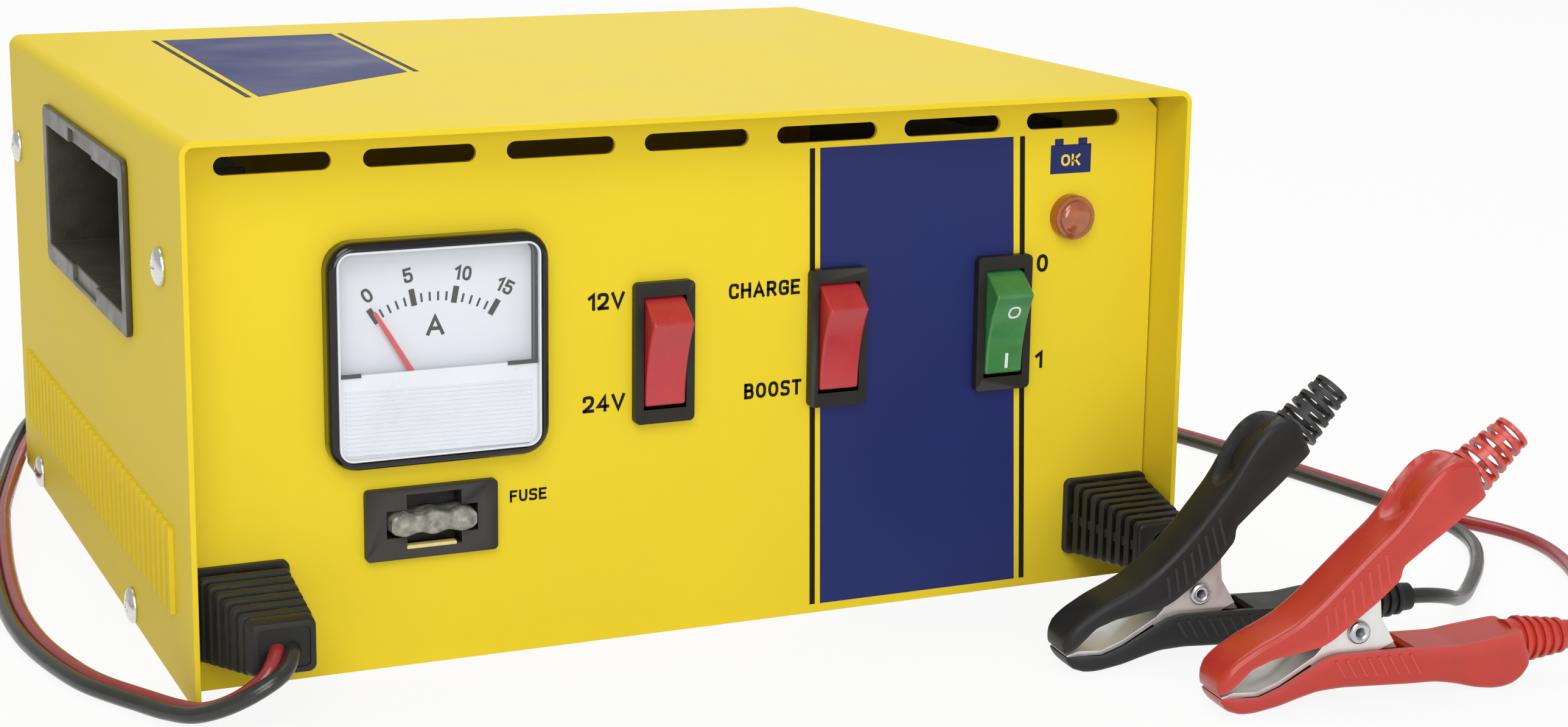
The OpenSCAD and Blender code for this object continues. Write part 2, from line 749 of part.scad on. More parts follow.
// One jaw: the sheet along the mouth and two cheeks that the rivet passes through
module jaw(cheek, points, hole_r) {
    difference() {
        union() {
            side_shape(2 * cheek, concat(jaw_mouth, jaw_back));
            for (s = [-1, 1]) translate([0, s * (cheek - cheek_t / 2), 0]) side_shape(cheek_t, points);
        }
        rotate([90, 0, 0]) cylinder(r = hole_r, h = 20, center = true, $fn = fine);
    }
}

module upper_jaw() jaw(inner_cheek, upper_cheek, rivet_r + 0.05);

module lower_jaw() mirror([0, 0, 1]) jaw(outer_cheek, lower_cheek, rivet_r);

module rivet() {
    rotate([90, 0, 0]) {
        cylinder(r = rivet_r, h = 2 * outer_cheek + 0.4, center = true, $fn = fine);
        for (s = [-1, 1]) translate([0, 0, s * (outer_cheek + 0.45)])
            cylinder(r = 2.3, h = 0.9, center = true, $fn = fine);
    }
}

module clamp_spring() {
    rotate([90, 0, 0]) {
        for (i = [-1, 0, 1]) translate([0, 0, i * 1.15]) rotate_extrude($fn = fine)
            translate([2.9, 0]) square([1.1, 1.2], center = true);
        for (s = [-1, 1]) translate([0, 0, s * 1.15]) rotate(s * 42) translate([0, s * 2.9, 0])
            rotate([0, 90, 0]) cylinder(r = 0.5, h = s < 0 ? 21.4 : 19, $fn = fine);
    }
}

module black_lower_grip() color("black") clamp_place(black_at) lower_grip();

module black_upper_grip() color("black") clamp_place(black_at) upper_grip(black_bend);

module black_lower_jaw() color("silver") clamp_place(black_at) lower_jaw();

module black_upper_jaw() color("silver") clamp_place(black_at) upper_jaw();

module black_rivet() color("gainsboro") clamp_place(black_at) rivet();

module black_spring() color("gray") clamp_place(black_at) clamp_spring();

module red_lower_grip() color("red") clamp_place(red_at) lower_grip();

module red_upper_grip() color("red") clamp_place(red_at) upper_grip(0);

module red_lower_jaw() color("silver") clamp_place(red_at) lower_jaw();

module red_upper_jaw() color("silver") clamp_place(red_at) upper_jaw();

module red_rivet() color("gainsboro") clamp_place(red_at) rivet();

module red_spring() color("gray") clamp_place(red_at) clamp_spring();

translate([0, centring_y, 0]) {
    cover();
    chassis();
    cover_screws();
    handle_cup_left();
    handle_cup_right();
    meter_case();
    meter_dial();
    meter_movement();
    meter_needle();
    meter_shield();
    meter_window();
    fuse_holder();
    fuse_body();
    fuse_blades();
    voltage_bezel();
    boost_bezel();
    mains_bezel();
    voltage_rocker();
    boost_rocker();
    mains_rocker();
    lamp_body();
    lamp_lens();
    low_voltage_gland();
    mains_gland();
    transformer_core();
    bobbin();
    primary_winding();
    secondary_winding();
    transformer_bracket();
    heatsink();
    rectifier();
    circuit_board();
    board_standoffs();
    relay();
    capacitor();
    terminal_block();
    chassis_bolts();
    twin_lead_front();
    twin_lead_coil();
    twin_lead_back();
    coil_tie();
    split_sleeve();
    red_tail();
    black_tail();
    black_lower_grip();
    black_upper_grip();
    black_lower_jaw();
    black_upper_jaw();
    black_rivet();
    black_spring();
    red_lower_grip();
    red_upper_grip();
    red_lower_jaw();
    red_upper_jaw();
    red_rivet();
    red_spring();
}
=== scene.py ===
from math import cos, exp, hypot, pi, radians, sin

import bmesh
import bpy
from mathutils import Matrix, Vector


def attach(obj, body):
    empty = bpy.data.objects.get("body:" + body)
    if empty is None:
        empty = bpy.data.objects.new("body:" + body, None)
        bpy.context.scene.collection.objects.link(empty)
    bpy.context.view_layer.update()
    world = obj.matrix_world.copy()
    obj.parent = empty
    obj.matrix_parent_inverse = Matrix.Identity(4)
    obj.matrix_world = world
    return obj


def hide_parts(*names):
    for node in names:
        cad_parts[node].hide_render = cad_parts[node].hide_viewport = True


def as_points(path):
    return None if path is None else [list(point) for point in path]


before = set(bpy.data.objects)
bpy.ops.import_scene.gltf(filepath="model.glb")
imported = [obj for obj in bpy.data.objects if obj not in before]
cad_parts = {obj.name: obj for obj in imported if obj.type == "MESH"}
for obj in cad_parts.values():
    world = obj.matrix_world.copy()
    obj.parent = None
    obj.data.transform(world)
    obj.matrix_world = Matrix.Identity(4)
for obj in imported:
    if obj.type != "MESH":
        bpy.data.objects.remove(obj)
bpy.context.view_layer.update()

# ---- sizes in millimetres and angles in degrees, as in the CAD

SIDE_X, FRONT_Y, PANEL_Y, TOP_Z = 115.0, -97.5, -85.5, 116.0
METER_X, METER_Z, METER_SIZE, METER_OUT = -60.0, 68.5, 48.0, 4.5
NEEDLE_Y, NEEDLE_Z, NEEDLE_REST = -87.0, 55.0, -31
ROCKERS = (-9.0, 32.5, 74.0)
ROCKER_Z, ROCKER_TILT = 63.6, 15
# A rocker's pivot lies ROCKER_IN behind the panel. Its face stands ROCKER_OUT out from there at its middle,
# and further out towards its ends, by the square of the height over ROCKER_HOLLOW
ROCKER_IN, ROCKER_OUT, ROCKER_HOLLOW = 3.0, 7.05, 72
LAMP = (91.4, 86.8)
FUSE = (-61.5, 31.6)
GLAND_X, GLAND_Z, GLAND_REACH, MAINS_REACH = 103.0, 15.7, 22.0, 27.0
SLOTS, SLOT_PITCH, SLOT_SHIFT, SLOT_Z, SLOT_W, SLOT_H = 7, 30.85, -1.0, 109.0, 24.2, 3.8
SCREWS = ((-77.5, 88.0), (97.5, 88.0), (-36.0, 4.0), (83.0, 4.0))
BLACK_PIVOT = (91.3, -140.7, 15.0)
RED_PIVOT = (107.3, -174.3, 15.0)
# A clamp leans up towards its leads by CLAMP_RISE, and is turned by CLAMP_TURN on the floor
CLAMP_RISE, CLAMP_TURN = 20, 6
# How far a print's underside and its face stand out from the sheet
PRINT = (-0.03, 0.06)
# Everything is written about the case's own middle, and then moved back as the CAD moves it, in metres
CENTRING = Vector((0, 0.0025, 0))


def turned(degrees):
    """Cosine and sine of an angle."""
    return cos(radians(degrees)), sin(radians(degrees))


def add_object(name, data):
    obj = bpy.data.objects.new(name, data)
    bpy.context.scene.collection.objects.link(obj)
    return obj


# ---- camera

# Solved from the edges of the case; lengths in the picture are in its own pixels
PICTURE_WIDTH = 2576
PICTURE_MIDDLE, OPTICAL_CENTRE = (1288, 597), (1100, 470)
FOCAL_LENGTH = 4416
SENSOR_WIDTH = 36.0
CAMERA_AT = Vector((-0.2240, -0.6083, 0.1928))
YAW, PITCH, ROLL = 22.52, 11.5, 0.31


def place_camera():
    yaw, pitch, roll = (radians(a) for a in (YAW, PITCH, ROLL))
    look = Vector((sin(yaw) * cos(pitch), cos(yaw) * cos(pitch), -sin(pitch)))
    right = look.cross(Vector((0, 0, 1))).normalized()
    up = right.cross(look)
    x_axis = cos(roll) * right + sin(roll) * up
    y_axis = -sin(roll) * right + cos(roll) * up
    data = bpy.data.cameras.new("camera")
    data.sensor_width = SENSOR_WIDTH
    data.lens = SENSOR_WIDTH * FOCAL_LENGTH / PICTURE_WIDTH
    data.shift_x = (PICTURE_MIDDLE[0] - OPTICAL_CENTRE[0]) / PICTURE_WIDTH
    data.shift_y = -(PICTURE_MIDDLE[1] - OPTICAL_CENTRE[1]) / PICTURE_WIDTH
    data.clip_start, data.clip_end = 0.01, 20.0
    obj = add_object("camera", data)
    m = Matrix((x_axis, y_axis, -look)).transposed().to_4x4()
    m.translation = CAMERA_AT + CENTRING
    obj.matrix_world = m
    bpy.context.scene.camera = obj


place_camera()


# ---- materials

def feed(tree, node, inputs):
    """Gives a node's inputs a value each, or the output that is linked to it."""
    for key, value in inputs.items():
        if isinstance(value, bpy.types.NodeSocket):
            tree.links.new(value, node.inputs[key])
        else:
            node.inputs[key].default_value = value
    return node


def node_of(tree, kind, inputs, **settings):
    node = tree.nodes.new(kind)
    for key, value in settings.items():
        setattr(node, key, value)
    return feed(tree, node, inputs)


def rgba(base, change):
    return (*[min(1.0, change(c)) for c in base], 1)


NOISE_LOW, NOISE_HIGH = 0.3, 0.7
SHARP_LOW, SHARP_HIGH = 0.52, 0.62
GRAIN_DEPTH = 0.0002


def surface(name, base, rough, metallic=0.0, vary=0.05, patch=0.004, rough_vary=0.08, grain=0.0004,
            bump=0.05, stretch=(1, 1, 1), coat=0.0, coat_rough=0.1, alpha=1.0, transmission=0.0,
            ior=1.5, subsurface=0.0, specular=0.5, edge=0.0):
    """A procedural material: slow patches in the colour and the roughness, and a fine grain as bump.
    patch and grain are the sizes of the two noises in metres, and edge lightens the colour along sharp edges,
    partly as wear and partly as a painted highlight."""
    m = bpy.data.materials.new(name)
    m.use_nodes = True
    t = m.node_tree
    p = feed(t, t.nodes["Principled BSDF"], {
        "Metallic": metallic, "IOR": ior, "Alpha": alpha, "Specular IOR Level": specular,
        "Coat Weight": coat, "Coat Roughness": coat_rough, "Transmission Weight": transmission,
        "Subsurface Weight": subsurface})
    if subsurface:
        feed(t, p, {"Subsurface Scale": 0.002, "Subsurface Radius": (1.0, 0.6, 0.4)})
    where = node_of(t, "ShaderNodeTexCoord", {})
    scaled = node_of(t, "ShaderNodeMapping", {"Scale": stretch, "Vector": where.outputs["Object"]})
    slow, fine = [node_of(t, "ShaderNodeTexNoise", {"Scale": 1.0 / size, "Detail": detail,
                                                    "Vector": scaled.outputs["Vector"]})
                  for size, detail in ((patch, 4.0), (grain, 2.0))]
    ramp = node_of(t, "ShaderNodeValToRGB", {"Fac": slow.outputs["Fac"]})
    low, high = ramp.color_ramp.elements
    low.position, high.position = NOISE_LOW, NOISE_HIGH
    low.color = rgba(base, lambda c: c * (1 - vary))
    high.color = rgba(base, lambda c: c * (1 + vary) + 0.3 * vary * c)
    colour = ramp.outputs["Color"]
    # Lightens the colour along sharp edges: partly wear, partly a painted highlight where edges catch the
    # light
    if edge:
        geometry = node_of(t, "ShaderNodeNewGeometry", {})
        sharp = node_of(t, "ShaderNodeMapRange", {
            "From Min": SHARP_LOW, "From Max": SHARP_HIGH, "To Max": edge,
            "Value": geometry.outputs["Pointiness"]})
        wear_and_painted_highlight = node_of(t, "ShaderNodeMix", {"Factor": sharp.outputs["Result"], "A": colour,
                                            "B": rgba(base, lambda c: c * 1.8 + 0.06)}, data_type="RGBA")
        colour = wear_and_painted_highlight.outputs["Result"]
    shine = node_of(t, "ShaderNodeMapRange", {
        "From Min": NOISE_LOW, "From Max": NOISE_HIGH, "To Min": max(0.02, rough - rough_vary),
        "To Max": min(1.0, rough + rough_vary), "Value": slow.outputs["Fac"]})
    relief = node_of(t, "ShaderNodeBump", {"Strength": bump, "Distance": GRAIN_DEPTH,
                                           "Height": fine.outputs["Fac"]})
    feed(t, p, {"Base Color": colour, "Roughness": shine.outputs["Result"],
                "Normal": relief.outputs["Normal"]})
    return m


YELLOW = surface("powder_yellow", (0.79, 0.606, 0.03), 0.44, vary=0.015, patch=0.05, rough_vary=0.03,
                 grain=0.0009, bump=0.08, specular=0.06)
BLUE = surface("print_blue", (0.008, 0.016, 0.12), 0.5, vary=0.03, patch=0.03, grain=0.0005, specular=0.3)
INK = surface("print_ink", (0.01, 0.009, 0.008), 0.5, vary=0.08, bump=0.03, specular=0.12)
PALE_INK = surface("print_yellow", (0.8, 0.62, 0.08), 0.42, vary=0.04, bump=0.03)
WHITE_INK = surface("print_white", (0.78, 0.8, 0.78), 0.4, vary=0.04, patch=0.002, bump=0.02)
BLACK_PLASTIC = surface("moulded_black", (0.012, 0.011, 0.008), 0.42, vary=0.12, patch=0.006, bump=0.18,
                        edge=0.3)
CUP_PLASTIC = surface("moulded_olive_black", (0.05, 0.042, 0.024), 0.36, vary=0.12, patch=0.006, bump=0.18,
                      edge=0.3)
GLOSS_BLACK = surface("gloss_black", (0.006, 0.006, 0.007), 0.12, vary=0.1, patch=0.01, rough_vary=0.04,
                      grain=0.0012, bump=0.03, coat=0.35, coat_rough=0.05, specular=0.3)
BEZEL = surface("bezel_plastic", (0.013, 0.012, 0.009), 0.42, vary=0.1, grain=0.0003, bump=0.16,
                specular=0.28, edge=0.4)
RUBBER = surface("rubber", (0.01, 0.0095, 0.007), 0.48, vary=0.16, grain=0.0005, bump=0.22, specular=0.32,
                 edge=0.4)
RED_ROCKER = surface("rocker_red", (0.47, 0.028, 0.034), 0.28, vary=0.04, patch=0.006, grain=0.0005, coat=0.3,
                     coat_rough=0.2, subsurface=0.15)
GREEN_ROCKER = surface("rocker_green", (0.045, 0.225, 0.06), 0.24, vary=0.1, patch=0.006, grain=0.0005,
                       bump=0.04, coat=0.4, coat_rough=0.12, subsurface=0.25)
DIAL = surface("dial_card", (0.72, 0.755, 0.81), 0.55, vary=0.015, patch=0.02, bump=0.03)
SHIELD = surface("shield_white", (0.74, 0.77, 0.82), 0.34, vary=0.02, patch=0.01, grain=0.0006)
NEEDLE = surface("needle_red", (0.6, 0.02, 0.03), 0.35, bump=0.02)
GLASS = surface("clear_window", (0.95, 0.97, 1.0), 0.04, vary=0.01, patch=0.03, rough_vary=0.01, grain=0.004,
                bump=0.01, alpha=0.05, ior=1.45)
FUSE_CLEAR = surface("fuse_clear", (0.3, 0.3, 0.25), 0.16, vary=0.75, patch=0.0022, grain=0.0006, bump=0.3,
                     coat=0.8, coat_rough=0.04, alpha=0.9, transmission=0.3, edge=0.5)
CREAM = surface("fuse_bar", (0.74, 0.6, 0.24), 0.45, vary=0.08, patch=0.003, bump=0.1)
AMBER = surface("lamp_amber", (0.42, 0.1, 0.022), 0.08, vary=0.25, patch=0.003, grain=0.001, coat=1.0,
                coat_rough=0.02, transmission=0.2, subsurface=0.15)
CHROME = surface("screw_zinc", (0.72, 0.72, 0.7), 0.2, metallic=1.0, patch=0.002, grain=0.0003, bump=0.12,
                 stretch=(1, 1, 4))
ZINC = surface("zinc_sheet", (0.74, 0.735, 0.71), 0.34, metallic=0.75, vary=0.03, patch=0.006,
               rough_vary=0.05, stretch=(3, 1, 1))
STEEL = surface("spring_steel", (0.55, 0.56, 0.57), 0.28, metallic=1.0, vary=0.07, patch=0.002, grain=0.0003,
                bump=0.1)
CLAMP_BLACK = surface("clamp_black", (0.01, 0.0105, 0.0105), 0.46, vary=0.1, patch=0.008, grain=0.0006,
                      bump=0.1, specular=0.36, edge=0.3)
CLAMP_RED = surface("clamp_red", (0.46, 0.026, 0.013), 0.34, patch=0.008, grain=0.0006, bump=0.1, coat=0.25,
                    coat_rough=0.25, subsurface=0.06, edge=0.25)
WIRE_RED = surface("wire_red", (0.3, 0.022, 0.03), 0.26, vary=0.06, patch=0.006, grain=0.0008, bump=0.08,
                   coat=0.2, coat_rough=0.2)
WIRE_BLACK = surface("wire_black", (0.02, 0.021, 0.018), 0.26, vary=0.12, patch=0.006, grain=0.0008,
                     bump=0.08, coat=0.2, coat_rough=0.2)
LAMINATION = surface("core_steel", (0.16, 0.15, 0.14), 0.5, metallic=0.7, vary=0.2, patch=0.01, grain=0.0005,
                     bump=0.6, stretch=(0.05, 3, 0.05))
COPPER = surface("enamelled_copper", (0.5, 0.2, 0.07), 0.25, metallic=0.9, vary=0.1, patch=0.005,
                 grain=0.0008, bump=0.6, stretch=(0.05, 0.05, 1.5))
NYLON = surface("white_nylon", (0.7, 0.68, 0.62), 0.4, patch=0.01, grain=0.0005, bump=0.1)
ALUMINIUM = surface("milled_aluminium", (0.68, 0.69, 0.7), 0.32, metallic=1.0, patch=0.01, bump=0.2,
                    stretch=(0.1, 4, 1))
SOLDER_MASK = surface("solder_mask", (0.02, 0.14, 0.05), 0.3, vary=0.2, patch=0.003, grain=0.0008, bump=0.15)
SLEEVE_BLUE = surface("capacitor_sleeve", (0.03, 0.05, 0.22), 0.3, vary=0.1, grain=0.0006, bump=0.06)


# ---- mesh building

class Form:
    """Collects the vertices and faces of one piece, in millimetres in the row frame."""

    def __init__(self):
        self.points, self.faces, self.skins = [], [], []

    def add(self, points, faces, skin=0):
        start = len(self.points)
        self.points += [Vector(p) for p in points]
        self.faces += [[start + i for i in f] for f in faces]
        self.skins += [skin] * len(faces)
        return self

    def loft(self, rings, skin=0, loop=False):
        """Joins rings of equal length, each a closed outline, and closes both ends or joins last to first."""
        n = len(rings[0])
        count = len(rings)
        faces = []
        for i in range(count if loop else count - 1):
            a, b = i * n, ((i + 1) % count) * n
            faces += [[a + k, a + (k + 1) % n, b + (k + 1) % n, b + k] for k in range(n)]
        if not loop:
            faces.append(list(range(n))[::-1])
            faces.append([(count - 1) * n + k for k in range(n)])
        return self.add([p for r in rings for p in r], faces, skin)

    def tube(self, path, radius, n, skin=0):
        """A round tube with n sides."""
        count = len(path)
        path = [Vector(p) for p in path]
        ways = [(path[min(i + 1, count - 1)] - path[max(i - 1, 0)]).normalized() for i in range(count)]
        side = ways[0].orthogonal().normalized()
        rings = []
        for i in range(count):
            side = (side - side.dot(ways[i]) * ways[i]).normalized()
            up = ways[i].cross(side)
            rings.append([path[i] + radius * (c * side + s * up) for c, s in circle(n)])
        return self.loft(rings, skin)

    def mesh(self, name, skins=(), move=CENTRING):
        """The mesh in metres, with twin points joined and the faces turned outwards."""
        mesh = bpy.data.meshes.new(name)
        mesh.from_pydata([p * 0.001 + move for p in self.points], [], self.faces)
        for m in skins:
            mesh.materials.append(m)
        for face, skin in zip(mesh.polygons, self.skins):
            face.material_index = skin
        bm = bmesh.new()
        bm.from_mesh(mesh)
        bmesh.ops.remove_doubles(bm, verts=bm.verts, dist=1e-7)
        bmesh.ops.recalc_face_normals(bm, faces=bm.faces)
        bm.to_mesh(mesh)
        bm.free()
        return mesh

    def build(self, name, skins, slot=None, replaces=(), body="case", sharp=38, bevel=0.0, segments=2):
        mesh = self.mesh(name, skins if isinstance(skins, list) else [skins])
        mesh.shade_smooth()
        mesh.set_sharp_from_angle(angle=radians(sharp))
        obj = add_object(name, mesh)
        if bevel:
            soften(obj, bevel, segments)
            even_normals(obj)
        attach(obj, body)
        if replaces:
            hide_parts(*replaces)
        return obj


def soften(obj, width, segments):
    """Rounds the edges. width is in millimetres."""
    b = obj.modifiers.new("edges", "BEVEL")
    b.width, b.segments = width * 0.001, segments
    b.limit_method, b.angle_limit = "ANGLE", radians(ROUND_FROM)


def carved(pieces, tool, use_self=False):
    """The pieces' meshes with the tool's shape taken out of them."""
    for piece in pieces:
        cut = piece.modifiers.new("cut", "BOOLEAN")
        cut.operation, cut.object, cut.solver, cut.use_self = "DIFFERENCE", tool, "EXACT", use_self
    deps = bpy.context.evaluated_depsgraph_get()
    return [bpy.data.meshes.new_from_object(piece.evaluated_get(deps)) for piece in pieces]


def circle(n):
    """Cosine and sine of n even steps round a circle."""
    return [(cos(2 * pi * k / n), sin(2 * pi * k / n)) for k in range(n)]


# Edges that turn by more than these angles are rounded, on new pieces and on copies of CAD nodes
ROUND_FROM, REFINE_FROM = 35, 32


def even_normals(obj):
    """Shades large flat faces flat, and keeps the rounding on the narrow faces between them."""
    m = obj.modifiers.new("normals", "WEIGHTED_NORMAL")
    m.mode = "FACE_AREA"
    m.weight = 100
    m.keep_sharp = True


def rrect(w, h, r, n=6):
    """Outline of a rectangle with round corners."""
    r = max(0.01, min(r, w / 2 - 0.001, h / 2 - 0.001))
    out = []
    for cx, cy, start in ((w / 2 - r, h / 2 - r, 0), (-w / 2 + r, h / 2 - r, 90),
                          (-w / 2 + r, -h / 2 + r, 180), (w / 2 - r, -h / 2 + r, 270)):
        for k in range(n + 1):
            a = radians(start + 90 * k / n)
            out.append((cx + r * cos(a), cy + r * sin(a)))
    return out


def on_front(x, z):
    """Puts (u, v, out) on the front panel: u to the right, v up, out towards the viewer."""
    return lambda u, v, out=0.0: Vector((x + u, PANEL_Y - out, z + v))


def stack(form, put, layers):
    """Lofts flat outlines, each given as (outline, out)."""
    return form.loft([[put(u, v, out) for u, v in outline] for outline, out in layers])


def rounded_plate(form, put, w, h, r, low, high, edge):
    """A plate from low to high, its outer edge rounded by edge."""
    layers = [(rrect(w, h, r), low)]
    for a in (0, 30, 60, 90):
        c, s = turned(a)
        inset = edge * (1 - c)
        layers.append((rrect(w - 2 * inset, h - 2 * inset, max(0.1, r - inset)), high - edge + edge * s))
    return stack(form, put, layers)


ROUTE_STEP = 1.6


def smooth_route(points):
    """A smooth line through the points, in steps of about ROUTE_STEP."""
    pts = [Vector(p) for p in points]
    pts = [2 * pts[0] - pts[1]] + pts + [2 * pts[-1] - pts[-2]]
    out = []
    for i in range(1, len(pts) - 2):
        p0, p1, p2, p3 = pts[i - 1:i + 3]
        count = max(2, round((p2 - p1).length / ROUTE_STEP))
        for k in range(count):
            t = k / count
            out.append(0.5 * (2 * p1 + (p2 - p0) * t + (2 * p0 - 5 * p1 + 4 * p2 - p3) * t * t
                              + (3 * p1 - p0 - 3 * p2 + p3) * t ** 3))
    out.append(pts[-2])
    return out


# ---- lead

# How high the middle of a lead lies when it is on the floor
FLOOR_Z = 1.8


def on_floor(*points):
    return [(x, y, FLOOR_Z) for x, y in points]


FRONT_ROUTE = [
    (-98.8, -104.5, 14.6), (-98.9, -107.5, 14.3), (-102, -112.2, 11.6), (-107, -112.6, 8.4),
    (-111.8, -110.2, 5.4), (-116.2, -105.6, 3), (-119.8, -99.4, 2), *on_floor((-123.4, -93),
    (-131.6, -78), (-135.8, -64), (-138.6, -48), (-139.6, -31), (-139, -13), (-137, 10), (-134, 34),
    (-130, 60), (-124, 86), (-117.4, 112), (-109.4, 138), (-103, 154)),
]
BACK_ROUTE = [
    (-52, 200.4, 13.3), (-40, 200, 12.2), (-27, 199, 9.2), (-12, 196.9, 5.4), (3, 192.9, 2.8),
    *on_floor((18, 187.4), (34, 180.4), (50, 172.6), (68, 162.4), (86, 151), (104, 138), (122, 122.6),
    (139, 105), (154, 85), (168, 62), (179, 40), (187, 20), (192, 0), (195.4, -19), (198.6, -38),
    (201.4, -56), (203.6, -72)),
]
RED_ROUTE = [
    *on_floor((206.8, -82), (209.4, -88), (212.2, -95), (213.4, -103), (212.4, -112), (209, -122),
    (204, -132), (198, -142), (192, -151.6)), (186.2, -161, 2), (181.4, -169.4, 2.8), (176.4, -176, 4.6),
    (170.8, -179.8, 6.6), (165.4, -180.4, 8.1), (160.2, -179.9, 8.4), (147.6, -178.5, 8.4),
    (135, -177.2, 8.4),
]
BLACK_ROUTE = [
    *on_floor((203.4, -82), (202.8, -88), (200.8, -96), (197, -104), (191, -112.4), (184.4, -120),
    (177, -127.4)), (169.6, -134.4, 2.2), (162.4, -140.6, 4), (155.8, -145, 6.6), (149.8, -146.8, 8.1),
    (144.2, -146.3, 8.4), (131.6, -144.9, 8.4), (119, -143.6, 8.4),
]
COIL_X, COIL_Y, COIL_R, COIL_TURNS, COIL_PITCH = -65.0, 164.5, 36.0, 3.25, 3.6
COIL_STEPS = 36
WIRE_R = 1.7
WIRE_OFFSET = 1.6
TWIST_AFTER, TWIST_LENGTH = 900, 46


def coil_points():
    count = round(COIL_STEPS * COIL_TURNS)
    out = []
    for k in range(count + 1):
        turn = COIL_TURNS * k / count
        a = pi - 2 * pi * turn
        out.append((COIL_X + COIL_R * cos(a), COIL_Y + COIL_R * sin(a), FLOOR_Z + COIL_PITCH * turn))
    return out


def make_leads():
    path = smooth_route(FRONT_ROUTE + coil_points() + BACK_ROUTE)
    along = [0.0]
    for a, b in zip(path, path[1:]):
        along.append(along[-1] + (b - a).length)
    # The lead turns over once, on the floor behind the case
    twist_at = next(s for s, p in zip(along, path) if s > TWIST_AFTER and p.x > 10)
    reds, blacks, webs = [], [], []
    for i, p in enumerate(path):
        way = (path[min(i + 1, len(path) - 1)] - path[max(i - 1, 0)]).normalized()
        right = way.cross(Vector((0, 0, 1))).normalized()
        up = right.cross(way)
        share = min(1.0, max(0.0, (along[i] - twist_at) / TWIST_LENGTH + 0.5))
        a = pi * share * share * (3 - 2 * share)
        side = cos(a) * right + sin(a) * up
        lift = max(0.0, WIRE_OFFSET * abs(side.z) + WIRE_R - p.z + 0.02)
        middle = p + Vector((0, 0, lift))
        reds.append(middle + WIRE_OFFSET * side)
        blacks.append(middle - WIRE_OFFSET * side)
        webs.append(middle)
    form = Form()
    form.tube(reds, WIRE_R, 14, 0)
    form.tube(blacks, WIRE_R, 14, 1)
    twin = form.build("twin_lead", [WIRE_RED, WIRE_BLACK], "lead_sheath",
                      ["twin_lead_front", "twin_lead_coil", "twin_lead_back"])
    red = make_tail("red", [(205.2, -72), (205.9, -77)], RED_ROUTE, WIRE_RED)
    black = make_tail("black", [(202.0, -72), (202.6, -77)], BLACK_ROUTE, WIRE_BLACK)
    return (twin, webs), red, black


def make_tail(colour, start, route, material):
    path = [Vector(p) for p in on_floor(*start)] + smooth_route(route)
    form = Form().tube(path, WIRE_R, 14)
    return form.build(colour + "_lead", material, colour + "_sheath", [colour + "_tail"]), path


def make_sleeve():
    form = Form()
    ends = [(203.5, -71.0), (203.7, -72.6), (204.1, -76.6), (204.7, -80.6), (205.0, -82.4)]
    sizes = [(7.0, 3.5), (7.5, 3.7), (7.5, 3.7), (7.7, 3.7), (7.2, 3.5)]
    rings = []
    for (x, y), (w, h) in zip(ends, sizes):
        rings.append([Vector((x + u, y, 1.86 + v)) for u, v in rrect(w, h, h / 2, 8)])
    form.loft(rings)
    return form.build("split_sleeve_shrunk", RUBBER, "black_rubber", ["split_sleeve"])


def make_tie():
    """A flat strap looped round the coil, with its lock."""
    form = Form()
    x = COIL_X + COIL_R
    rings = []
    for u, v in rrect(8.6, 14.6, 1.6, 4):
        d = Vector((u / 4.3, 0, v / 7.3)).normalized() * 0.45
        rings.append([Vector((x + u, COIL_Y + w, 7.8 + v)) + s * d
                      for w, s in ((-2.2, 0), (2.2, 0), (2.2, 1), (-2.2, 1))])
    form.loft(rings, loop=True)
    stack(form, lambda u, v, out: Vector((x + 4.6 + out, COIL_Y + u, 9.0 + v)),
          [(rrect(5.4, 4.6, 0.6), -0.4), (rrect(5.4, 4.6, 0.6), 1.2), (rrect(4.8, 4.0, 0.5), 1.7)])
    return form.build("coil_strap", BLACK_PLASTIC, "black_moulding", ["coil_tie"], bevel=0.12)


# ---- helpers for the pieces

def dressed(node, material):
    """Keeps a CAD node and gives it its material."""
    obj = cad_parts[node]
    if not obj.material_slots:
        obj.data.materials.append(material)
    for s in obj.material_slots:
        s.material = material
    return obj


def refined(node, suffix, material, bevel, segments=2, body="case"):
    """A copy of a CAD node with its edges rounded, which stands for it. bevel is in millimetres."""
    name, nodes = node + suffix, [node]
    bm = bmesh.new()
    bm.from_mesh(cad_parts[node].data)
    for layer in list(bm.loops.layers.uv.values()):
        bm.loops.layers.uv.remove(layer)
    bmesh.ops.remove_doubles(bm, verts=bm.verts, dist=2e-6)
    bmesh.ops.dissolve_limit(bm, angle_limit=radians(0.5), verts=bm.verts, edges=bm.edges)
    bmesh.ops.recalc_face_normals(bm, faces=bm.faces)
    picked = [e for e in bm.edges if len(e.link_faces) == 2 and e.calc_face_angle(0) > radians(REFINE_FROM)]
    bmesh.ops.bevel(bm, geom=picked, offset=bevel * 0.001, offset_type="OFFSET", segments=segments,
                    profile=0.5, affect="EDGES", clamp_overlap=True)
    for f in bm.faces:
        f.material_index = 0
    mesh = bpy.data.meshes.new(name)
    bm.to_mesh(mesh)
    bm.free()
    mesh.materials.append(material)
    mesh.shade_smooth()
    mesh.set_sharp_from_angle(angle=radians(30))
    obj = add_object(name, mesh)
    even_normals(obj)
    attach(obj, body)
    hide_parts(*nodes)
    return obj


def lathe(form, centre, axis, profile, n=40):
    """Turns (radius, distance along the axis) points about the axis."""
    axis = Vector(axis).normalized()
    a = axis.orthogonal().normalized()
    b = axis.cross(a)
    return form.loft([[Vector(centre) + d * axis + r * (c * a + s * b) for c, s in circle(n)]
                      for r, d in profile])


def box_outline(u0, u1, v0, v1):
    return [(u0, v0), (u1, v0), (u1, v1), (u0, v1)]


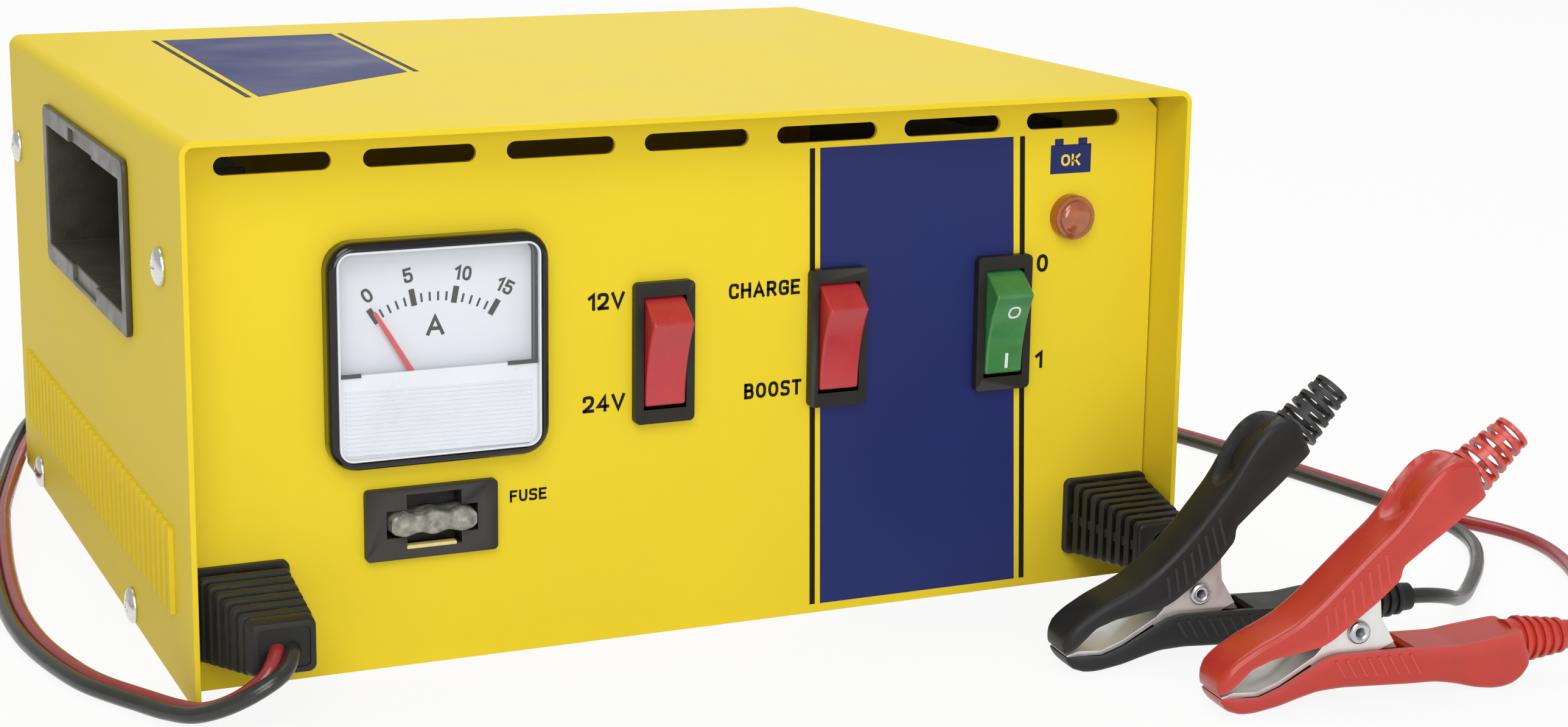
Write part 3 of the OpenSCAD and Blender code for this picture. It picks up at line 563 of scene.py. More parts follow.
def block(form, put, u0, u1, v0, v1, low, high):
    outline = box_outline(u0, u1, v0, v1)
    return stack(form, put, [(outline, low), (outline, high)])


def curve(radius, *points):
    """A stroke: its corner radius, whether it is closed, and its points in a box of 1 by 1."""
    return radius, False, points


def oval(radius, *points):
    return radius, True, points


def stroke(*points):
    return curve(0, *points)


# Each letter's width, and its strokes
LOWER_BAR = stroke((0, 0.52), (0.85, 0.52))
STEM = stroke((0, 0), (0, 1))
LETTERS = {
    "0": (0.52, [oval(0.5, (0, 0), (1, 0), (1, 1), (0, 1))]),
    "O": (0.62, [oval(0.5, (0, 0), (1, 0), (1, 1), (0, 1))]),
    "1": (0.26, [stroke((0, 0.76), (1, 1), (1, 0))]),
    "2": (0.52, [curve(0.4, (0, 0.76), (0, 1), (1, 1), (1, 0.5), (0, 0.02)), stroke((0, 0), (1, 0))]),
    "4": (0.6, [stroke((0.72, 0), (0.72, 1), (0, 0.27), (1, 0.27))]),
    "5": (0.5, [stroke((0.95, 1), (0.08, 1), (0.03, 0.56)),
                curve(0.4, (0.03, 0.58), (1, 0.64), (1, 0), (0, 0), (0, 0.2))]),
    "V": (0.66, [stroke((0, 1), (0.5, 0), (1, 1))]),
    "C": (0.56, [curve(0.4, (1, 0.78), (1, 1), (0, 1), (0, 0), (1, 0), (1, 0.22))]),
    "G": (0.58, [curve(0.4, (1, 0.8), (1, 1), (0, 1), (0, 0), (1, 0), (1, 0.3)),
                 stroke((1, 0.22), (1, 0.47), (0.55, 0.47))]),
    "H": (0.58, [STEM, stroke((1, 0), (1, 1)), stroke((0, 0.52), (1, 0.52))]),
    "A": (0.68, [stroke((0, 0), (0.5, 1), (1, 0)), stroke((0.2, 0.3), (0.8, 0.3))]),
    "R": (0.56, [STEM, curve(0.35, (0, 1), (0.95, 1), (0.95, 0.46), (0, 0.46)), stroke((0.5, 0.46), (1, 0))]),
    "E": (0.5, [stroke((1, 1), (0, 1), (0, 0), (1, 0)), LOWER_BAR]),
    "B": (0.56, [STEM, curve(0.3, (0, 1), (0.93, 1), (0.93, 0.53), (0, 0.53)),
                 curve(0.3, (0, 0.53), (1, 0.53), (1, 0), (0, 0))]),
    "S": (0.54, [curve(0.35, (1, 0.93), (1, 1), (0, 1), (0, 0.53), (1, 0.5), (1, 0), (0, 0), (0, 0.07))]),
    "T": (0.56, [stroke((0.5, 0), (0.5, 1)), stroke((0, 1), (1, 1))]),
    "F": (0.48, [stroke((1, 1), (0, 1), (0, 0)), LOWER_BAR]),
    "U": (0.56, [curve(0.45, (0, 1), (0, 0), (1, 0), (1, 1))]),
    "K": (0.58, [STEM, stroke((1, 1), (0.08, 0.42)), stroke((0.36, 0.6), (1, 0))]),
    "I": (0.0, [STEM]),
}


def rounded_stroke(points, radius, closed):
    """The stroke with its corners turned in short arcs; ends stay where they are."""
    pts = [Vector(p) for p in points]
    if not radius:
        return pts
    out = []
    for i, p in enumerate(pts):
        if not closed and i in (0, len(pts) - 1):
            out.append(p)
            continue
        before, after = pts[i - 1], pts[(i + 1) % len(pts)]
        a = p + (before - p).normalized() * min(radius, (before - p).length / 2)
        b = p + (after - p).normalized() * min(radius, (after - p).length / 2)
        out += [a.lerp(p, t).lerp(p.lerp(b, t), t) for t in (0, 0.25, 0.5, 0.75, 1)]
    return [q for k, q in enumerate(out) if k == 0 or (q - out[k - 1]).length > 1e-4]


def word(name, text, put, left, bottom, width, height, body, material, slot, weight=0.19, turn=0.0,
         thick=0.07):
    """Flat printed letters that fill a box, in the (u, v) of put, drawn in bars weight times as wide as
    they are tall. turn is in degrees about the box's middle."""
    sink = 0.02
    bar = weight * height
    gap = bar + 0.15 * height
    unit = (width - bar - gap * (len(text) - 1)) / max(0.01, sum(LETTERS[c][0] for c in text))
    c, s = turned(turn)

    def place(x, y, out):
        x, y = x - width / 2, y - height / 2
        return put(left + width / 2 + c * x - s * y, bottom + height / 2 + s * x + c * y, out)

    form = Form()
    start = bar / 2
    for letter in text:
        wide = LETTERS[letter][0] * unit
        for radius, closed, points in LETTERS[letter][1]:
            line = [Vector((start + p.x * wide, bar / 2 + p.y * (height - bar)))
                    for p in rounded_stroke(points, radius, closed)]
            if closed and (line[0] - line[-1]).length < 1e-3:
                line.pop()
            rings = []
            for i, p in enumerate(line):
                before = (p - line[i - 1]).normalized() if closed or i else None
                after = (line[(i + 1) % len(line)] - p).normalized() if closed or i < len(line) - 1 else None
                way = ((before or after) + (after or before)).normalized()
                side = Vector((-way.y, way.x)) * (bar / 2 / max(0.5, way.dot(before or after)))
                # A free end runs on by half a bar, so that letters fill the box
                tip = p + way * bar / 2 * (bool(before) - bool(after))
                rings.append([place(*(tip + side), thick), place(*(tip - side), thick),
                              place(*(tip - side), -sink), place(*(tip + side), -sink)])
            form.loft(rings, loop=closed)
        start += wide + gap
    obj = form.build(name, material, slot, body=body)
    for face in obj.data.polygons:
        face.use_smooth = False
    return obj


# ---- case

def make_case():
    refined("cover", "_painted", YELLOW, 0.25)
    refined("chassis", "_painted", YELLOW, 0.2)
    for cup in ("handle_cup_left", "handle_cup_right"):
        refined(cup, "_moulded", CUP_PLASTIC, 0.5, 3)


def make_screws():
    """Pan heads with a cross recess; one mesh for all eight."""
    dome = [(0.01, -6.0), (1.6, -6.0), (1.9, -5.6), (1.9, 0.02), (4.05, 0.02), (4.1, 0.25)]
    dome += [(4.1 * cos(a), 0.45 + 1.55 * sin(a)) for a in [radians(10 * k) for k in range(1, 9)]]
    dome += [(0.01, 2.0)]
    cutter = Form()
    for turn in (0, 90):
        c, s = turned(turn)
        cutter.loft([[Vector((x, u * c - v * s, u * s + v * c)) for u, v in box_outline(-w, w, -h, h)]
                     for x, w, h in ((2.4, 2.4, 0.42), (0.5, 0.7, 0.2))])
    head = lathe(Form(), (0, 0, 0), (1, 0, 0), dome, 36)
    blank, recess = [add_object(name, form.mesh(name, move=Vector()))
                     for name, form in (("screw_blank", head), ("screw_recess", cutter))]
    shape = carved([blank], recess, use_self=True)[0]
    whole = Form()
    for n, (y, z) in enumerate(SCREWS):
        for sign in (-1, 1):
            turn = radians(17 + 31 * n + 13 * sign)
            m = Matrix.Translation((sign * SIDE_X, y, z)) @ Matrix.Rotation(0 if sign > 0 else pi, 4, "Z")
            m = m @ Matrix.Rotation(turn, 4, "X")
            whole.add([m @ (v.co * 1000) for v in shape.vertices], [list(f.vertices) for f in shape.polygons])
    for obj in (blank, recess):
        bpy.data.objects.remove(obj)
    whole.build("case_screws", CHROME, "zinc_screw", ["cover_screws"], sharp=40)


def printed(put, *outlines):
    """Thin flat plates of print, one for each outline."""
    form = Form()
    for outline in outlines:
        stack(form, put, [(outline, level) for level in PRINT])
    return form


def on_top(u, v, out=0.0):
    """Puts (u, v, out) on the top: u from the left edge, v from the front edge."""
    return Vector((u - SIDE_X, v + FRONT_Y, TOP_Z + out))


def make_print():
    """The blue band and lines of the front panel, its words, and the blue field on top."""
    put = on_front(-SIDE_X, 0)
    high, low = 105.8, 2.0
    band = printed(put, [(143.1, high), (191.1, high), (194.8, low), (144.9, low)])
    band = band.build("panel_band", BLUE, "yellow_paint")
    lines = printed(put, *[[(upper, high), (upper + 1.25, high), (lower + 1.3, low), (lower, low)]
                           for upper, lower in ((140.6, 142.3), (192.8, 196.1))])
    lines = lines.build("panel_lines", INK, "yellow_paint")
    cut_print((band, lines))
    field = [(34.7, 178), (79.7, 179), (74.4, 93), (31.0, 61)]
    printed(on_top, field).build("top_field", BLUE, "yellow_paint")
    strips = [[(a[0] + away * 1.6, a[1]), (a[0] + away * 2.9, a[1]), (b[0] + away * 2.9, b[1]),
               (b[0] + away * 1.6, b[1])]
              for a, b, away in ((field[0], field[3], -1), (field[1], field[2], 1))]
    printed(on_top, *strips).build("top_lines", INK, "yellow_paint")
    words = [
        ("word_12v", "12V", 89.0, 73.6, 8.4, 3.7), ("word_24v", "24V", 87.8, 51.3, 9.7, 3.7),
        ("word_charge", "CHARGE", 121.7, 73.7, 17.0, 3.4), ("word_boost", "BOOST", 125.6, 51.0, 13.8, 3.5),
        ("word_fuse", "FUSE", 71.2, 33.3, 8.3, 2.6),
        ("word_one", "1", 198.6, 51.8, 1.9, 4.0), ("word_zero", "0", 198.2, 74.3, 2.9, 4.1),
    ]
    for name, text, x, z, w, h in words:
        word(name, text, put, x, z, w, h, "case", INK, "yellow_paint")
    sign = printed(put, box_outline(200.9, 211.4, 96.7, 103.3), box_outline(201.9, 204.1, 103.2, 104.7),
                   box_outline(208.0, 210.3, 103.2, 104.7))
    sign.build("battery_sign", BLUE, "yellow_paint")
    word("word_ok", "OK", put, 203.6, 98.4, 5.0, 2.7, "case", PALE_INK, "yellow_paint", 0.2, thick=0.1)


def cut_print(pieces):
    """Takes the switch and slot openings out of the printed band and lines."""
    cutter = Form()
    for x in ROCKERS[1:]:
        block(cutter, on_front(x, ROCKER_Z), -6.6, 6.6, -15.2, 15.2, -1, 1)
    for i in range(SLOTS):
        slot = rrect(SLOT_W + 0.2, SLOT_H + 0.2, 2.0)
        stack(cutter, on_front((i - 3) * SLOT_PITCH + SLOT_SHIFT, SLOT_Z), [(slot, -1), (slot, 1)])
    tool = add_object("band_cutter", cutter.mesh("band_cutter"))
    for piece, mesh in zip(pieces, carved(pieces, tool)):
        piece.modifiers.clear()
        piece.data = mesh
    bpy.data.objects.remove(tool)


# ---- meter

def square(side, r, level):
    """One layer of a stack: a square with round corners, and how far out it stands."""
    return rrect(side, side, r), level


def make_meter():
    put = on_front(METER_X, METER_Z)
    make_meter_case(put)
    make_meter_cover(put)
    make_dial(put)
    make_needle()


def make_meter_case(put):
    size, out, edge = METER_SIZE, METER_OUT, 1.6
    layers = [square(43, 21.49, -28), square(43, 21.49, -6), square(45.2, 4, -6), square(45.2, 4, 0),
              square(size, 6, 0), square(size, 6, 2.6)]
    for a in range(0, 91, 15):
        c, s = turned(a)
        inset = edge * (1 - c)
        layers.append(square(size - 2 * inset, 6 - inset, out - edge + edge * s))
    layers += [square(44.7, 4.2, 4.5), square(44.3, 3.1, 4.3), square(44.2, 3, 1.0), square(43.2, 3, 1.0),
               square(43.2, 3, -1.0), square(39, 19.49, -1.0), square(39, 19.49, -26.5)]
    stack(Form(), put, layers).build("meter_housing", GLOSS_BLACK, "black_gloss", ["meter_case"])
    glass = [square(44.1, 3, 3.4), square(44.1, 3, 4.15), square(43.7, 2.8, 4.42), square(43.1, 2.6, 4.5)]
    stack(Form(), put, glass).build("meter_glazing", GLASS, "clear_window", ["meter_window"])
    # A white ring round the window's rim: a painted highlight where the glass edge catches the light
    rings = [[put(u, v, level) for u, v in rrect(44.0 - 2 * w, 44.0 - 2 * w, 3 - w)]
             for w, level in ((0.0, 3.35), (0.0, 4.4), (0.15, 4.56), (0.42, 4.5), (0.42, 3.35))]
    Form().loft(rings, loop=True).build("meter_window_painted_highlight", SHIELD, "clear_window")


def make_meter_cover(put):
    """The lower cover, ribbed across, in the rounded lower half of the window, and its two marks."""
    form = Form()
    top = -3.9
    rim = [(u, v) for u, v in rrect(43.6, 43.4, 2.7) if v < top]
    left = min(u for u, v in rim)
    outline = [(-left, top), (left, top)] + sorted([p for p in rim if p[0] < 0], key=lambda p: -p[1]) \
        + sorted([p for p in rim if p[0] >= 0], key=lambda p: p[1])
    stack(form, put, [(outline, 2.55), (outline, 3.05)])
    for k in range(15):
        v = 47.5 - METER_Z + 0.95 * k
        rib = [(-20.4, v), (20.4, v - 0.6), (20.4, v + 0.0), (-20.4, v + 0.6)]
        crest = [(-20.3, v + 0.22), (20.3, v - 0.38), (20.3, v - 0.22), (-20.3, v + 0.38)]
        stack(form, put, [(rib, 3.0), (crest, 3.38)])
    form.build("meter_lower_cover", SHIELD, "dial_card", ["meter_shield"])
    form = Form()
    for x0, x1 in ((32.8, 38.1), (69.9, 77.3)):
        block(form, on_front(-SIDE_X, 0), x0, x1, 64.15, 65.0, 3.0, 3.36)
    form.build("meter_cover_marks", INK, "dial_card")


def make_dial(put):
    """The dial's scale and its figures, printed on the card."""
    form = Form()
    dial = on_front(METER_X, NEEDLE_Z)
    level = -0.4
    for k in range(16):
        r0, r1, half = (23.4, 25.3, 0.22) if k % 5 else (23.0, 26.6, 0.62)
        c, s = turned(-32 + 64 * k / 15)
        bar = [(r * s + w * c, r * c - w * s) for r, w in ((r0, -half), (r0, half), (r1, half), (r1, -half))]
        stack(form, dial, [(bar, level - 0.02), (bar, level + 0.06)])
    form.build("dial_scale", INK, "dial_card")

    def face(u, v, out=0.0):
        return put(u - METER_X - SIDE_X, v - METER_Z, level + out)

    for name, text, cx, cz, w, h, turn in (
            ("dial_0", "0", 40.6, 80.5, 2.1, 3.1, 32), ("dial_5", "5", 49.4, 84.1, 2.0, 3.1, 12),
            ("dial_10", "10", 61.4, 83.8, 3.7, 3.1, -10), ("dial_15", "15", 70.6, 80.4, 3.7, 3.1, -28),
            ("dial_unit", "A", 55.2, 73.2, 3.9, 4.3, 0)):
        word(name, text, face, cx - w / 2, cz - h / 2, w, h, "case", INK, "dial_card", 0.18, turn)


def make_needle():
    """The needle, tapered, on its hub and spindle."""
    form = Form()
    c, s = turned(NEEDLE_REST)
    along, across = Vector((s, 0, c)), Vector((c, 0, -s))
    pivot = Vector((METER_X, NEEDLE_Y, NEEDLE_Z))
    corners = ((-1, -0.6), (0, -1), (1, -0.6), (1, 1), (-1, 1))
    rings = []
    for r, half, thick in ((-4.0, 0.75, 0.5), (-1.5, 0.9, 0.5), (6, 0.62, 0.45), (20, 0.54, 0.4),
                           (25.4, 0.42, 0.35), (26.0, 0.2, 0.25)):
        middle = pivot + r * along + Vector((0, 0.25, 0))
        rings.append([middle + half * across * i + Vector((0, thick / 2 * j, 0)) for i, j in corners])
    form.loft(rings)
    hub = [(0.01, -0.3), (1.5, -0.3), (1.8, -0.05), (1.8, 0.8), (0.6, 0.8), (0.6, 9), (0.01, 9)]
    lathe(form, pivot, (0, 1, 0), hub, 24)
    form.build("needle_pointer", NEEDLE, "needle_red", ["meter_needle"], "needle")


# ---- fuse, switches, lamp

def make_fuse():
    refined("fuse_holder", "_moulded", BEZEL, 0.3)
    x, z = FUSE
    put = on_front(x, z)
    form = Form()
    # The fuse's cap: three lobes across, frosted, on a narrower body
    lobes = [(-9.5 + 19 * k / 24, 1.0 + 0.16 * cos(2 * pi * (-9.5 + 19 * k / 24) / 6.4)) for k in range(25)]
    rings = []
    for level, grow in ((-2.6, 0.94), (0.0, 1.0), (1.6, 1.0), (2.5, 0.97), (3.0, 0.88), (3.2, 0.72)):
        shrink = 0.985 if grow < 1 else 1.0
        upper = [(u * shrink, 2.35 * grow * lobe * (1 - 0.5 * max(0, abs(u) - 8.6) ** 2))
                 for u, lobe in lobes]
        lower = [(u, -v) for u, v in reversed(upper)]
        rings.append([put(u, v, level) for u, v in upper + lower])
    form.loft(rings)
    block(form, put, -7.7, 7.7, -1.8, 1.8, -8.5, -2.4)
    form.build("fuse_cap", FUSE_CLEAR, "fuse_plastic", ["fuse_body"], "fuse", bevel=0.15)
    dressed("fuse_blades", ZINC)
    form = Form()
    rounded_plate(form, on_front(x - 0.2, z - 5.2), 11.0, 0.8, 0.3, 0.0, 1.75, 0.2)
    form.build("fuse_bar", CREAM, "dark_moulding")


def on_rocker(x):
    """Puts (across, up the face, out from the pivot) on a rocker that stands x along the panel."""
    c, s = turned(ROCKER_TILT)
    return lambda u, v, out: Vector((x + u, PANEL_Y + ROCKER_IN - out * c - v * s,
                                     ROCKER_Z - out * s + v * c))


def rocker_face(v):
    """How far out the hollow face of a rocker stands, v up from its middle."""
    return ROCKER_OUT + v * v / ROCKER_HOLLOW


def make_switches():
    face = [(v, rocker_face(v)) for v in [-9.2 + 1.15 * k for k in range(17)]]
    outline = [(-12.7, -1.5), (-12.55, 2.4), (-9.75, 8.2)] + face + [(9.75, 8.2), (12.55, 2.4), (12.7, -1.5)]
    for name, x, material, slot in (("voltage", ROCKERS[0], RED_ROCKER, "red_moulding"),
                                    ("boost", ROCKERS[1], RED_ROCKER, "red_moulding"),
                                    ("mains", ROCKERS[2], GREEN_ROCKER, "green_moulding")):
        refined(name + "_bezel", "_moulded", BEZEL, 0.45, 3)
        put = on_rocker(x)
        form = Form()
        form.loft([[put(u, v, out) for v, out in outline] for u in (-4.65, 4.65)])
        lathe(form, put(0, 0, 0), (1, 0, 0), [(1.2, -5.55), (1.2, 5.55)], 20)
        form.build(name + "_rocker_moulded", material, slot, [name + "_rocker"], name + "_switch", sharp=25,
                   bevel=0.5, segments=3)
    put = on_rocker(ROCKERS[2])

    def mark(u, v, out=0.0):
        return put(u, v, rocker_face(v) + out)

    for name, text, u, v, w, h, weight in (("rocker_off", "O", -1.0, 3.6, 3.2, 3.2, 0.15),
                                           ("rocker_on", "I", 0.1, -8.5, 0.75, 3.4, 0.22)):
        word(name, text, mark, u, v, w, h, "mains_switch", WHITE_INK, "green_moulding", weight, thick=0.12)


def make_lamp():
    x, z = LAMP
    form = Form()
    centre = (x, PANEL_Y, z)
    outer = [(0.01, 4.0), (1.6, 3.98), (2.9, 3.86), (3.6, 3.6), (4.0, 3.2), (4.15, 2.8), (4.9, 2.75),
             (5.1, 2.5), (5.2, 0.4), (5.2, 0.0), (4.0, 0.0), (4.0, -8.0), (3.0, -8.0), (3.0, 1.6), (2.4, 2.2),
             (0.01, 2.6)]
    lathe(form, centre, (0, -1, 0), outer, 40)
    form.build("lamp_cap", AMBER, "amber_lens", ["lamp_lens"])
    dressed("lamp_body", NYLON)


# ---- rubber boots on the panel

def make_gland(name, sign, reach, ridges, lean, lift, bored, node):
    """A ribbed boot: a foot on the panel, ridges with deep slots between them, and a plain end when it isn't
    ribbed to the end."""
    put = on_front(sign * GLAND_X, GLAND_Z)
    form = Form()
    first = 1.6
    last = reach - 1.0 if bored else reach - 3.4
    pitch = (last - first) / ridges
    foot = 18.0 + lift
    neck, flange = (14.4, 11.4, 1.0, 0, 0), (21.4, foot, 1.6, 0, lift / 2)
    layers = [(neck, -9.8), (neck, 0.0), (flange, 0.0), (flange, 1.2),
              ((20.8, foot - 0.6, 1.4, 0, lift / 2), 1.6)]

    def size_at(out):
        f = out / reach
        return 20.2 - 7.0 * f, foot - 0.4 - (6.6 + lift) * f, lean * f, lift / 2 * (1 - f) - 0.9 * f

    for i in range(ridges):
        for step, inset in ((0.0, 2.1), (0.40, 2.0), (0.44, 0.15), (0.52, 0.0), (0.95, 0.0), (1.0, 0.2)):
            out = first + pitch * (i + step)
            w, h, du, dv = size_at(out)
            layers.append(((w - 2 * inset, h - 2 * inset, 1.2, du, dv), out))
    if not bored:
        for back, inset in ((3.35, 0.9), (3.0, 0.9), (2.95, 0.1), (2.7, 0.0)):
            w, h, du, dv = size_at(reach - back)
            layers.append(((w - 2 * inset, h - 2 * inset, 1.6, du, dv), reach - back))
    for back, inset in ((0.6, 0.0), (0.15, 0.2), (0.0, 0.6)):
        w, h, du, dv = size_at(reach - back)
        layers.append(((w - 2 * inset, h - 2 * inset, 1.6, du, dv), reach - back))
    if bored:
        layers += [((7.3, 7.3, 3.64, 0, -0.9), reach), ((7.2, 7.2, 3.59, 0, -0.9), reach - 0.4),
                   ((7.2, 7.2, 3.59, 0, -0.9), -9.8)]
    else:
        w, h, du, dv = size_at(reach)
        layers += [((w - 2.6, h - 2.6, 1.0, du, dv), reach), ((w - 2.8, h - 2.8, 0.9, du, dv), reach - 0.25)]
    rings = [[put(u + du, v + dv, out) for u, v in rrect(w, h, r)] for (w, h, r, du, dv), out in layers]
    form.loft(rings, loop=bored)
    # Bridges across the slots, staggered from one slot to the next
    for i in range(ridges):
        out = first + pitch * (i + 0.22)
        w, h, du, dv = size_at(out)
        shift = (2.4 if i % 2 else -2.2) + du
        span = out - pitch * 0.3, out + pitch * 0.3
        for top in (1, -1):
            v0, v1 = dv + top * (h / 2 - 2.2), dv + top * (h / 2 - 0.5)
            block(form, put, shift - 1.0, shift + 1.0, min(v0, v1), max(v0, v1), *span)
        for side in (1, -1):
            u0, u1 = du + side * (w / 2 - 2.2), du + side * (w / 2 - 0.5)
            block(form, put, min(u0, u1), max(u0, u1), dv - 1.0, dv + 1.0, *span)
    return form.build(name, RUBBER, "black_rubber", [node], sharp=30)


# ---- clamps

# The handle's outline from the side: (along, out from the clamp's centre line)
GRIP_OUTER = [(-32.7, 1.4), (-32.5, 2.6), (-31.6, 4.0), (-30.0, 5.0), (-27, 6.1), (-21.5, 7.1), (-17, 7.4),
              (-12.5, 7.9), (-7, 9.6), (0, 12.5), (7.5, 15.6), (13, 17.7), (17, 20), (21, 22.8), (25, 24.9),
              (28, 25.8), (30.5, 25.8), (32.4, 25.2), (34.0, 24.0), (34.8, 22.8)]
NOSE_INNER = [(-32.7, 0.5), (-31.0, 0.9), (-29, 1.7), (-24.9, 3.4), (-20, 3.4)]
UPPER_INNER = NOSE_INNER + [(-9, 1.2), (-6, 1.6), (6, 5.2), (11.6, 7.4), (12.6, 9.7), (20, 12.0),
                            (34.8, 16.2)]
LOWER_INNER = NOSE_INNER + [(-9, 1.8), (-6, 2.2), (7.5, 7.2), (20, 12.2), (34.8, 15.8)]
BOOT_BASE, BOOT_END = (34.0, 19.4), (47.8, 24.4)


def along_line(points, s):
    """The height at s of the straight pieces between the points."""
    for (a, ta), (b, tb) in zip(points, points[1:]):
        if s <= b:
            return ta + (tb - ta) * (s - a) / (b - a) if s > a else ta
    return points[-1][1]


def smooth_line(points, s, reach=1.2):
    """The line's height at s, taken as a mean over reach on both sides, except near its ends."""
    if points[0][0] + reach < s < points[-1][0] - reach:
        return sum(along_line(points, s + reach * k / 3) for k in range(-3, 4)) / 7
    return along_line(points, s)


def clamp_frame(at, flip, bend=0.0):
    """Puts (along, across, out from the clamp's centre line) where the clamp lies. bend turns what lies
    behind the pivot outwards, in degrees."""
    rise_c, rise_s = turned(CLAMP_RISE)
    turn_c, turn_s = turned(CLAMP_TURN)

    def put(s, w, t):
        a = radians(bend) * min(1.0, max(0.0, (s + 4) / 16))
        s, t = s * cos(a) - t * sin(a), s * sin(a) + t * cos(a)
        t = flip * t
        x, z = s * rise_c - t * rise_s, s * rise_s + t * rise_c
        return Vector((at[0] + x * turn_c + w * turn_s, at[1] - x * turn_s + w * turn_c, at[2] + z))

    return put


def make_grip(name, put, body, material, slot, node, upper):
    form = Form()
    inner_line = UPPER_INNER if upper else LOWER_INNER
    stations = [-32.7, -32.6, -32.3, -31.8, -31.1, -30.2]
    stations += [-29 + 63.8 * k / 80 for k in range(80)] + [34.4, 34.8]
    wall = 1.1
    rings = []
    for s in stations:
        outer, inner = smooth_line(GRIP_OUTER, s), smooth_line(inner_line, s, 0.6)
        nose = max(0.0, min(1.0, (s + 32.9) / 3.4))
        tail = max(0.0, (s - 33.4) / 1.6)
        half = 3.9 + 1.7 * sin(nose * pi / 2)
        half += 0.35 * exp(-((s - 25) / 7) ** 2)
        half -= 0.8 * tail * tail
        r = min(1.25, (outer - inner) * 0.45, half - 0.4)
        hollow = outer - 1.9 - 3 * max(0, (-26 - s) / 4) - 6 * max(0, (s - 31) / 2)
        hollow = max(inner + 0.02, min(outer - 1.9, hollow))
        if not upper:
            hollow = max(inner + 0.02, hollow - 5 * max(0.0, s - 9))
        side = outer - r
        corner = [turned(15 * k) for k in range(7)]
        ring = [(-half + wall, inner), (-half, inner)]
        ring += [(-half, inner + (side - inner) * k / 3) for k in (1, 2)]
        ring += [(-half + r * (1 - c), side + r * sn) for c, sn in corner]
        ring += [(-half + r + (2 * half - 2 * r) * k / 14, outer) for k in range(1, 14)]
        ring += [(half - r * (1 - c), side + r * sn) for c, sn in reversed(corner)]
        ring += [(half, inner + (side - inner) * k / 3) for k in (2, 1)]
        ring += [(half, inner), (half - wall, inner), (half - wall, hollow), (-half + wall, hollow)]
        placed = []
        for w, t in ring:
            if t > side:
                dish = 1 - ((s - 23.6) / 9.6) ** 2 - ((w - 0.2) / 4.7) ** 2
                if dish > 0:
                    t -= 2.7 * dish ** 0.75
                t += 0.2 * (1 - (w / half) ** 2)
            placed.append(put(s, w, t))
        rings.append(placed)
    form.loft(rings)
    # Fine ribs on the sides, near the pivot
    relief = 0.14 if upper else 0.26
    for side in (-1, 1):
        for k in range(8):
            s = -6.5 + 2.3 * k
            low, high = smooth_line(inner_line, s) + 0.9, smooth_line(GRIP_OUTER, s) - 2.4
            rings = []
            for d, out in ((-0.6, -0.2), (-0.2, relief), (0.2, relief), (0.6, -0.2)):
                rings.append([put(s + d + 0.35, side * (5.6 + out), high - 0.3 * (out < 0)),
                              put(s + d - 0.6, side * (5.6 + out), low + 0.3 * (out < 0)),
                              put(s + d - 0.6, side * 5.2, low), put(s + d + 0.35, side * 5.2, high)])
            form.loft(rings)
    (s0, t0), (s1, t1) = BOOT_BASE, BOOT_END
    length = hypot(s1 - s0, t1 - t0)
    ways = ((s1 - s0) / length, (t1 - t0) / length)

    def boot(d, w, v):
        return put(s0 + d * ways[0] - v * ways[1], w, t0 + d * ways[1] + v * ways[0])

    def arc(r0, r1, d0, d1, a0, a1, n):
        full = a1 - a0 >= 359.9
        count = n if full else n + 1
        rings = []
        for k in range(count):
            a = radians(a0 + (a1 - a0) * k / n)
            rings.append([boot(d, r * sin(a), r * cos(a))
                          for d, r in ((d0, r0), (d1, r0), (d1, r1), (d0, r1))])
        form.loft(rings, loop=full)

    if upper:
        # An open cage: thin rings on four bars, with teeth on the bars between the rings
        for k in range(6):
            radius = 5.2 - 0.26 * k
            arc(radius - 1.2, radius, 1.5 + 2.3 * k, 2.4 + 2.3 * k, 0, 360, 32)
            start = 45 if k % 2 else 135
            for turn in (0, 180):
                near = -0.6 + 2.3 * k if k else -2.0
                middle = start + turn
                arc(radius - 1.1, radius - 0.15, near, 1.6 + 2.3 * k, middle - 15, middle + 15, 4)
    else:
        profile = [(-1.5, 4.5), (0.6, 4.4)]
        for k in range(5):
            d, r = 1.4 + 2.3 * k, 5.0 - 0.3 * k
            core = 4.3 - 0.26 * k
            profile += [(d, core), (d + 0.1, r - 0.15), (d + 0.3, r), (d + 1.0, r), (d + 1.2, r - 0.15),
                        (d + 1.3, core - 0.1)]
        profile += [(length, 3.0), (length + 0.2, 2.6)]
        form.loft([[boot(d, r * sn, r * c) for c, sn in circle(28)] for d, r in profile])
    return form.build(name, material, slot, [node], body, sharp=34)


def make_teeth(name, put, body, low, high):
    """The toothed plate along the far side of a jaw's mouth."""
    mouth = [(-29.4, 0.3), (-24.9, 2.5), (-19.8, 2.5), (-9.4, 0.6)]
    form = Form()
    count = 34
    edge = []
    for k in range(count + 1):
        s = mouth[0][0] + (mouth[-1][0] - mouth[0][0]) * k / count
        edge.append((s, 0.12 if k % 2 else min(0.75, along_line(mouth, s) - 0.1)))
    back = [(s, along_line(mouth, s) + 0.3) for s, t in edge]
    rings = []
    for w in (low, high):
        rings.append([put(s, w, t) for s, t in edge] + [put(s, w, t) for s, t in reversed(back)])
    form.loft(rings)
    return form.build(name, ZINC, "zinc_plate", body=body, sharp=30)


